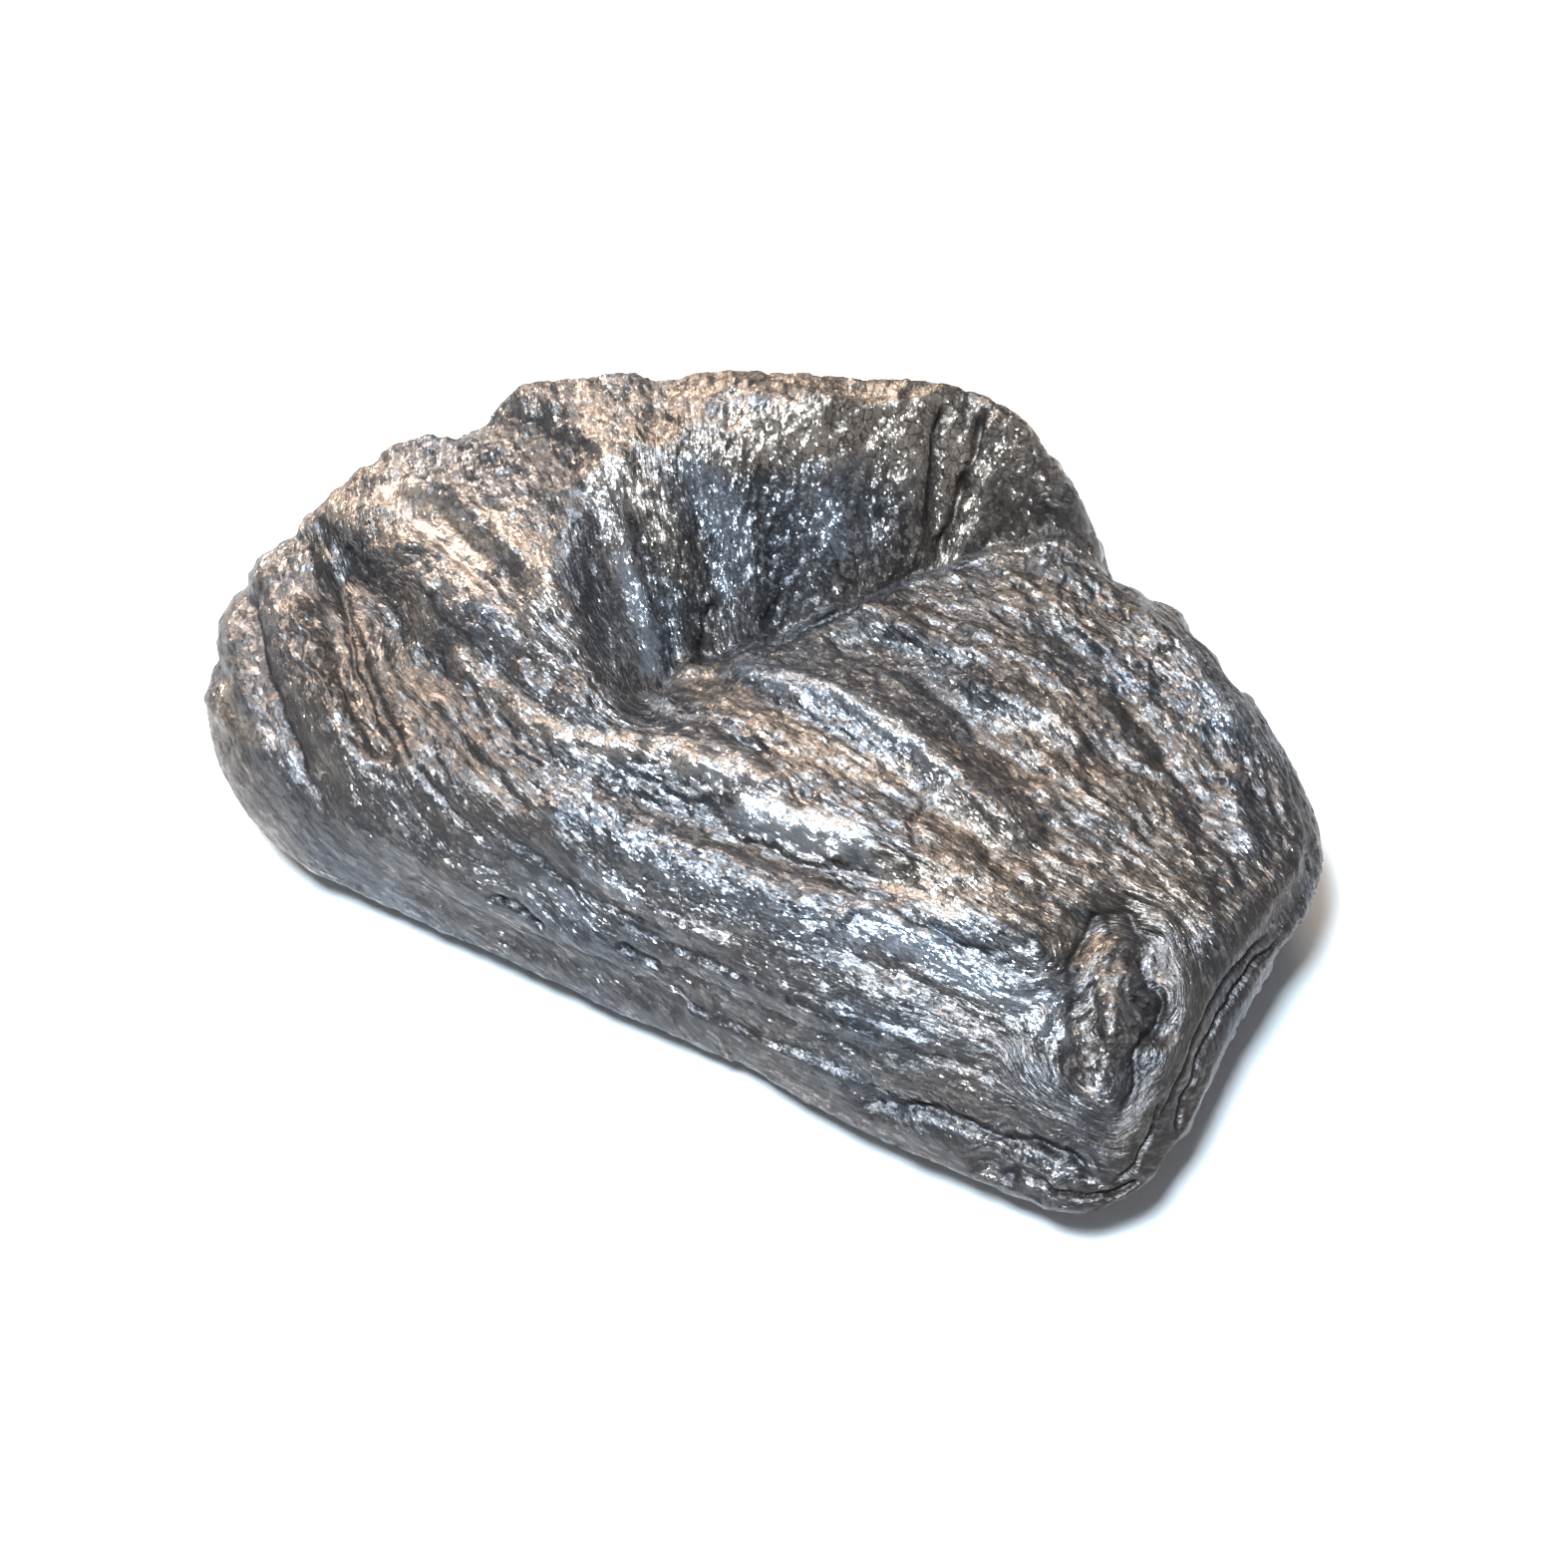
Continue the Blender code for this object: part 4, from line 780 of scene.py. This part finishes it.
# Cracks: depth, half width and line. Below them, the pit's depth, half width and middle, and the depth and
# share of width of the small ring mark, with its middle and its two radii.
CRACKS = [
    (0.5, 0.50, [(-6.2, -4.0), (-5.0, -1.4), (-1.7, 2.0), (1.5, 5.5), (4.1, 9.5), (5.4, 11.3)]),
    (1.0, 0.60, [(-5.6, 1.8), (-5.3, 0.6), (-4.7, -0.8)]),
    (0.8, 0.55, [(-7.6, -1.6), (-6.7, -2.5), (-5.9, -3.2)]),
    (0.8, 0.60, [(2.9, 17.4), (3.4, 15.6), (4.2, 12.6)]),
    (0.9, 0.60, [(5.1, 18.4), (5.5, 15.0), (5.2, 11.7)]),
    (0.8, 0.50, [(18.6, -24.6), (21.6, -23.0), (23.7, -22.2), (26.3, -22.0), (29.0, -21.0), (30.8, -20.9),
        (33.0, -21.9)]),
    (0.6, 0.45, [(29.1, -23.6), (33.0, -22.0), (35.0, -19.5)]),
    (0.7, 0.40, [(-9.8, -22.7), (-7.4, -23.1), (-5.2, -23.8)]),
    (0.6, 0.40, [(-0.6, -22.4), (1.0, -22.5), (3.0, -22.7)]),
    (0.5, 0.45, [(-29.4, -5.4), (-25.6, -10.1), (-22.6, -13.0), (-20.3, -14.9)]),
    (0.4, 0.45, [(-33.7, -10.1), (-30.7, -13.3), (-26.7, -17.3), (-22.4, -21.2)]),
    (0.5, 0.45, [(25.2, -11.4), (25.4, -9.6), (25.5, -7.4), (26.8, -5.9), (28.3, -6.8)]),
    (0.6, 0.45, [(28.3, -6.8), (29.5, -8.7), (30.7, -9.3), (31.3, -10.8), (30.9, -12.8), (32.0, -14.9),
        (31.9, -17.3)]),
    (0.4, 0.45, [(37.2, -0.5), (35.6, -5.6), (35.5, -13.4), (36.1, -16.0)]),
    (0.3, 0.40, [(35.9, -1.0), (34.4, -6.0), (34.2, -12.0), (34.8, -16.4)]),
    (0.4, 0.40, [(15.8, -13.2), (18.8, -13.3), (22.2, -12.6)]),
    (0.4, 0.40, [(10.4, -12.4), (12.6, -12.7), (14.7, -12.4)]),
    (0.4, 0.40, [(33.6, -14.6), (34.7, -17.4), (33.1, -21.3)]),
    (0.5, 0.45, [(13.6, -6.0), (13.4, -7.8), (14.6, -9.6)]),
    (0.4, 0.45, [(-24.6, -1.0), (-20.0, -3.4), (-15.0, -5.0)]),
    (0.35, 0.35, [(-2.0, -20.8), (8.0, -20.9), (17.0, -19.9), (26.0, -18.4)]),
    (0.30, 0.35, [(2.0, -22.6), (10.0, -22.4), (19.0, -21.2)]),
    (0.30, 0.35, [(-4.0, -24.2), (6.0, -24.6), (15.0, -23.6)]),
    (0.35, 0.40, [(-10.0, -18.6), (-4.0, -20.2), (3.0, -20.2)]),
    (0.35, 0.40, [(-26.4, -8.6), (-21.0, -13.6), (-15.0, -17.6), (-9.0, -20.2)]),
]
PIT = (0.9, 0.9, (28.4, -24.0))
RING = (0.35, 0.30, (12.8, -10.7), (1.7, 0.8))


def crack_depth(depth, half_width, line):
    """Depth of a ragged crack: the square of one less distance over half width, fading at both ends."""
    distance, ends = from_ragged_line(line, 0.25, fade=8)
    return depth * ends * np.clip(1 - np.abs(distance) / half_width, 0, 1) ** 2


def plate_rise(rise, fall_off, line):
    """Height of a plate's edge: full at its line, gone at the fall-off to the left, sheer to the right."""
    distance, ends = from_ragged_line(line, 0.6, fade=5)
    return rise * ends * np.clip(1 - distance / fall_off, 0, 1) * smooth_step(distance, -0.25, 0.15)


cracks = np.max([crack_depth(*crack) for crack in CRACKS], axis=0)
pit_depth, pit_width, pit_middle = PIT
pit = np.hypot(flat_x - pit_middle[0], flat_y - pit_middle[1]) / pit_width
ring_depth, ring_width, ring_middle, ring_radii = RING
ring = np.hypot((flat_x - ring_middle[0]) / ring_radii[0], (flat_y - ring_middle[1]) / ring_radii[1]) - 1
cracks += pit_depth * np.clip(1 - pit, 0, 1) ** 2
cracks += ring_depth * np.clip(1 - np.abs(ring) / ring_width, 0, 1) ** 2

# Swells of bundles and of fibres: height and length in millimetres, width in grain numbers, and random draw.
BUNDLES = [(0.15, 6, 2.4, 32), (0.08, 3, 1.0, 33)]
FIBRES = [(0.04, 1.8, 0.5, 35), (0.04, 0.9, 0.35, 36)]

# Terraces step down along the grain, and low ledges cross it.
TERRACE_HEIGHT = 0.18
TERRACE_WIDTH = 1.8
LEDGE_HEIGHT = 0.09

# Broken plates, long and short: length, width and random draw, with their heights below.
LONG_PLATES = (2.6, 1.1, 40)
SHORT_PLATES = (1.2, 0.6, 41)
LONG_PLATE_HEIGHT = 0.12
SHORT_PLATE_HEIGHT = 0.08


def swells(waves):
    """The sum of random swells along the grain, each times its height."""
    return sum(height * along_grain(*wave) for height, *wave in waves)


def scales(length, width, seed):
    """Broken plates, long along the grain: their height, and every plate's own random number from -1 to 1.
    Each point takes the tilted plane of the nearest plate's middle, out of one middle per cell of place and
    grain number: the plate's own number plus its lean times the way to its middle."""
    spots = grain_place(length, width)
    draw = np.random.default_rng(seed)
    shuffled = draw.permutation(DRAWS)
    shifts, leans = draw.uniform(-0.4, 0.4, (DRAWS, 4)), draw.uniform(-1, 1, (DRAWS, 4))
    heights = draw.uniform(-1, 1, DRAWS)
    cell = np.floor(spots).astype(int)
    nearest = np.full(len(spots), np.inf)
    surface, own = np.zeros((2, len(spots)))
    for step in itertools.product((-1, 0, 1), repeat=4):
        card = card_of(cell + step, shuffled)
        away = spots - cell - step - 0.5 - shifts[card]
        distance = (away**2).sum(axis=-1)
        surface = np.where(distance < nearest, heights[card] + (leans[card] * away).sum(axis=-1), surface)
        own = np.where(distance < nearest, heights[card], own)
        nearest = np.minimum(distance, nearest)
    return surface, own


terrace = grain / TERRACE_WIDTH + 1.4 * along_grain(4, 2.0, 31)
step_shape = np.interp(terrace % 1, [0, 0.82, 1], [-0.5, 0.5, -0.5])
ledge = 1.8 * along_grain(4, 2.0, 38) + 0.7 * wild(place / 2.5, 39)
bundles = swells(BUNDLES)
bundles += TERRACE_HEIGHT * step_shape * smooth_step(along_grain(4, 2.2, 34), -0.2, 0.5)
bundles += LEDGE_HEIGHT * (np.floor(ledge) + smooth_step(ledge % 1, 0.6, 1.0))
long_plates, long_number = scales(*LONG_PLATES)
short_plates, short_number = scales(*SHORT_PLATES)
plates = LONG_PLATE_HEIGHT * long_plates + SHORT_PLATE_HEIGHT * short_plates
fibres = swells(FIBRES) + 0.04 * wild(place / 0.9, 37)

# The flaky places are the roughest. The side is smoother than the top, and the rubbed plates are worn down.
lively = np.clip(1 + 0.8 * flakiness, 0.3, 1.3) * (1 - 0.5 * smooth_step(down_side, 0, 1.5))
lively *= 1 - 0.5 * smooth_step(polish_and_painted_light, 0.7, 1.4)
rise = (0.3 + 0.6 * lively) * bundles + lively * (plates + fibres) + relief_at(flat_x, flat_y, FOLDS) - cracks
rise += np.sum([plate_rise(*plate) for plate in PLATES], axis=0)
rise *= smooth_step(place[:, 2], 0.0, 1.6)

# Every point moves straight out from the skin by its rise, and none goes below the table.
stone_mesh = bpy.data.meshes.new("raw_graphite")
faces = [*np.concatenate([top_faces, side_faces]).tolist(), rings[-1, ::-1].tolist()]
stone_mesh.from_pydata((place * MM).tolist(), [], faces)
outward = np.empty(place.shape, np.float32)
stone_mesh.vertex_normals.foreach_get("vector", outward.reshape(-1))
place_now = place + outward * rise[:, None]
place_now[:, 2] = np.maximum(place_now[:, 2], 0)
stone_mesh.vertices.foreach_set("co", (place_now * MM).astype(np.float32).reshape(-1))
stone_mesh.shade_smooth()
stone_mesh.update()
stone = bpy.data.objects.new("raw_graphite", stone_mesh)
bpy.context.scene.collection.objects.link(stone)
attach(stone, "root")
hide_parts("graphite_lump")


# The finish. Fresh graphite shines like dull steel. A smooth film covers it, bluish or brownish grey, and
# bright flakes in it lie along the grain and lean every way. Rubbed plates are smoother and carry a painted
# highlight in their colour, and cracks carry painted shade.
FILM = (0.076, 0.080, 0.093, 1), (0.115, 0.097, 0.087, 1)
# Colours the film is lightened to where a highlight is painted on: cool, and warm.
PAINTED_HIGHLIGHT_FILM = (0.42, 0.45, 0.50, 1), (0.54, 0.45, 0.38, 1)
BRIGHT_FLAKE = (0.36, 0.40, 0.47, 1), (0.48, 0.39, 0.33, 1)
DULL_DARK = (0.02, 0.017, 0.015, 1)
METALLIC = 0.85
ROUGHNESS = 0.46

# Sizes: flakes and threads have a length in millimetres and a width in grain numbers.
LARGE_FLAKE = (0.6, 0.24)
SMALL_FLAKE = (0.20, 0.13)
THREAD = (1.7, 1.7, 0.22)
CRACK_CELLS_PER_MM = 1.5
GRIT_PER_MM = 4.0
RIDGE_HEIGHT = 0.14 * MM

# Numbers stored at every point for the finish to read. The last three make broad bands along the grain,
# patches of tint, and each broken plate a little lighter or darker than the next.
skin_values = {
    "grain": grain,
    "polish_and_painted_light": polish_and_painted_light,
    "clay_and_painted_light_tint": clay_and_painted_light_tint,
    "flakiness": flakiness,
    "crack": np.clip(cracks / 0.6, 0, 1),
    "broad": swells([(0.14, 5, 1.3, 51), (0.12, 2.5, 0.7, 52), (0.12, 1.3, 0.45, 53)]),
    "patch": swells([(0.25, 9, 6, 54), (0.12, 4, 2.5, 55)]),
    "plate": 0.4 * long_number + 0.6 * short_number,
}
for name, values in skin_values.items():
    stone_mesh.attributes.new(name, "FLOAT", "POINT").data.foreach_set("value", values.astype(np.float32))


def vectors(tree, operation, first, second=(0.0, 0.0, 0.0), share=1.0):
    """One sum on whole vectors: the first with the second, or the first times a share."""
    given = {0: first, 1: second, 3: share}
    return add_nodes(tree, "ShaderNodeVectorMath", given, operation=operation).outputs[0]


def flake_layer():
    """A node group: flat flakes that are long along the grain, each with its own random value and tilt."""
    group = bpy.data.node_groups.new("flake layer", "ShaderNodeTree")
    for name, kind in (("Skin Place", "Vector"), ("Length", "Float"), ("Width", "Float")):
        group.interface.new_socket(name, in_out="INPUT", socket_type="NodeSocket" + kind)
    for name, kind in (("Value", "Float"), ("Tilt", "Vector")):
        group.interface.new_socket(name, in_out="OUTPUT", socket_type="NodeSocket" + kind)
    given = add_nodes(group, "NodeGroupInput").outputs
    long_and_wide = {0: given["Length"], 1: given["Length"], 2: given["Width"]}
    size = add_nodes(group, "ShaderNodeCombineXYZ", long_and_wide).outputs[0]
    spot = vectors(group, "DIVIDE", given["Skin Place"], size)
    cells = add_nodes(group, "ShaderNodeTexVoronoi", {"Vector": spot, "Scale": 1.0})
    tilt = vectors(group, "SUBTRACT", cells.outputs["Color"], (0.5, 0.5, 0.5))
    value = add_nodes(group, "ShaderNodeSeparateColor", {0: cells.outputs["Color"]}).outputs["Blue"]
    add_nodes(group, "NodeGroupOutput", {"Value": value, "Tilt": tilt})
    return group


def graphite_finish():
    """Flaky graphite: a smooth metallic grey film, with bright flakes in it that are tilted every way."""
    finish = bpy.data.materials.new("raw_graphite")
    finish.use_nodes = True
    tree = finish.node_tree
    shader = tree.nodes["Principled BSDF"]
    layer_tree = flake_layer()

    def math(operation, first, second=0.0, third=0.0, clamp=False):
        node = add_nodes(tree, "ShaderNodeMath", {0: first, 1: second, 2: third}, operation=operation)
        node.use_clamp = clamp
        return node.outputs[0]

    def with_shares(total, *parts, clamp=False):
        """A value plus a share of each part, held between 0 and 1 at the end if it is clamped."""
        for number, (part, share) in enumerate(parts, 1):
            total = math("MULTIPLY_ADD", part, share, total, clamp and number == len(parts))
        return total

    def attribute(name):
        return add_nodes(tree, "ShaderNodeAttribute", attribute_name=name).outputs["Fac"]

    def flakes(length, width):
        given = {"Skin Place": skin_place, "Length": length, "Width": width}
        return add_nodes(tree, "ShaderNodeGroup", given, node_tree=layer_tree).outputs

    def noise(spot, scale):
        given = {"Vector": spot, "Scale": scale, "Detail": 2.0}
        return add_nodes(tree, "ShaderNodeTexNoise", given).outputs["Fac"]

    def mixed(share, first, second):
        node = add_nodes(tree, "ShaderNodeMix", {0: share, 6: first, 7: second}, data_type="RGBA")
        return node.outputs[2]

    # Where a spot lies on the skin: two slanting distances over the stone, and its grain number.
    grain_number, polish_and_painted_light, clay_and_painted_light_tint, flakiness, crack, broad, patch, plate = map(attribute, skin_values)
    place_mm = vectors(tree, "SCALE", add_nodes(tree, "ShaderNodeTexCoord").outputs["Object"], share=1 / MM)
    x, y, z = add_nodes(tree, "ShaderNodeSeparateXYZ", {0: place_mm}).outputs
    slanting = {0: with_shares(x, (z, 0.7)), 1: with_shares(y, (z, 0.7)), 2: grain_number}
    skin_place = add_nodes(tree, "ShaderNodeCombineXYZ", slanting).outputs[0]
    fine = math("SUBTRACT", noise(vectors(tree, "DIVIDE", skin_place, THREAD), 1.0), 0.5)
    large = flakes(*LARGE_FLAKE)
    small = flakes(*SMALL_FLAKE)
    speck = math("SUBTRACT", small["Value"], 0.5)

    # Some of the large flakes shine in short dashes. The small bright ones lie thickest there.
    likely = with_shares(large["Value"], (plate, 0.10), (broad, 0.5))
    dash_range = {0: likely, 1: 0.62, 2: 0.92}
    dash = add_nodes(tree, "ShaderNodeMapRange", dash_range, interpolation_type="SMOOTHSTEP").outputs[0]
    # More bright flakes lie where a highlight is painted on, and fewer in the cracks, which adds to their
    # painted shade.
    thick = with_shares(0.02, (dash, 0.32), (broad, 0.35), (flakiness, 0.25), (polish_and_painted_light, 0.15), (crack, -0.8))
    more_than_all = math("SUBTRACT", math("ADD", small["Value"], thick), 1.0)
    flake = with_shares(0.5, (more_than_all, 3.0), clamp=True)

    # A net of tiny dark cracks on the plates that carry the painted warm highlight.
    cells = {"Vector": place_mm, "Scale": CRACK_CELLS_PER_MM}
    net = add_nodes(tree, "ShaderNodeTexVoronoi", cells, feature="DISTANCE_TO_EDGE").outputs["Distance"]
    net_line = with_shares(0.8, (net, -7.0), clamp=True)
    netted = math("MULTIPLY", math("MULTIPLY", polish_and_painted_light, clay_and_painted_light_tint, clamp=True), net_line)

    # The film between the flakes, a little lighter and darker along the grain, lightened where a highlight is
    # painted on, and darkened in the cracks as painted shade.
    # The tint: warmer where clay stains the film and where a warm highlight is painted on, bluer where a cool
    # highlight is painted on, and varied by random patches.
    warm = with_shares(0.44, (clay_and_painted_light_tint, 0.55), (patch, 1.8), (speck, 0.6), clamp=True)
    film_tone_and_painted_light = with_shares(0.06, (polish_and_painted_light, 0.34), (broad, 0.12), clamp=True)
    film_tone_and_painted_light = with_shares(film_tone_and_painted_light, (dash, 0.20), (plate, 0.07), (speck, 0.08), (fine, 0.4))
    # The net of cracks darkens the plates, and the film is darker in the cracks as painted shade.
    film_tone_and_painted_light = with_shares(film_tone_and_painted_light, (netted, -0.6), (crack, -0.5), clamp=True)
    film = mixed(film_tone_and_painted_light, mixed(0.2, mixed(warm, *FILM), DULL_DARK), mixed(warm, *PAINTED_HIGHLIGHT_FILM))
    colour = mixed(math("MULTIPLY", flake, 0.6), film, mixed(warm, *BRIGHT_FLAKE))
    tree.links.new(colour, shader.inputs["Base Color"])
    tree.links.new(with_shares(ROUGHNESS, (film_tone_and_painted_light, -0.08), (flake, -0.13)), shader.inputs["Roughness"])
    shader.inputs["Metallic"].default_value = METALLIC

    # Fine ridges along the grain, then every flake's own tilt, both lower where the skin is rubbed flat.
    unpolished = math("SUBTRACT", 1.0, math("MULTIPLY", math("SUBTRACT", polish_and_painted_light, 0.7, clamp=True), 0.4))
    grit = math("MULTIPLY", noise(place_mm, GRIT_PER_MM), 0.30)
    height = math("MULTIPLY", with_shares(grit, (fine, 0.34)), unpolished)
    bump = {"Strength": 1.0, "Distance": RIDGE_HEIGHT, "Height": height}
    ridged = add_nodes(tree, "ShaderNodeBump", bump).outputs[0]
    large_share = math("MULTIPLY", unpolished, 0.32)
    small_share = math("MULTIPLY", unpolished, with_shares(0.22, (flake, 0.55)))
    leaning = vectors(tree, "ADD", ridged, vectors(tree, "SCALE", large["Tilt"], share=large_share))
    leaning = vectors(tree, "ADD", leaning, vectors(tree, "SCALE", small["Tilt"], share=small_share))
    tree.links.new(vectors(tree, "NORMALIZE", leaning), shader.inputs["Normal"])
    return finish


stone_mesh.materials.append(graphite_finish())
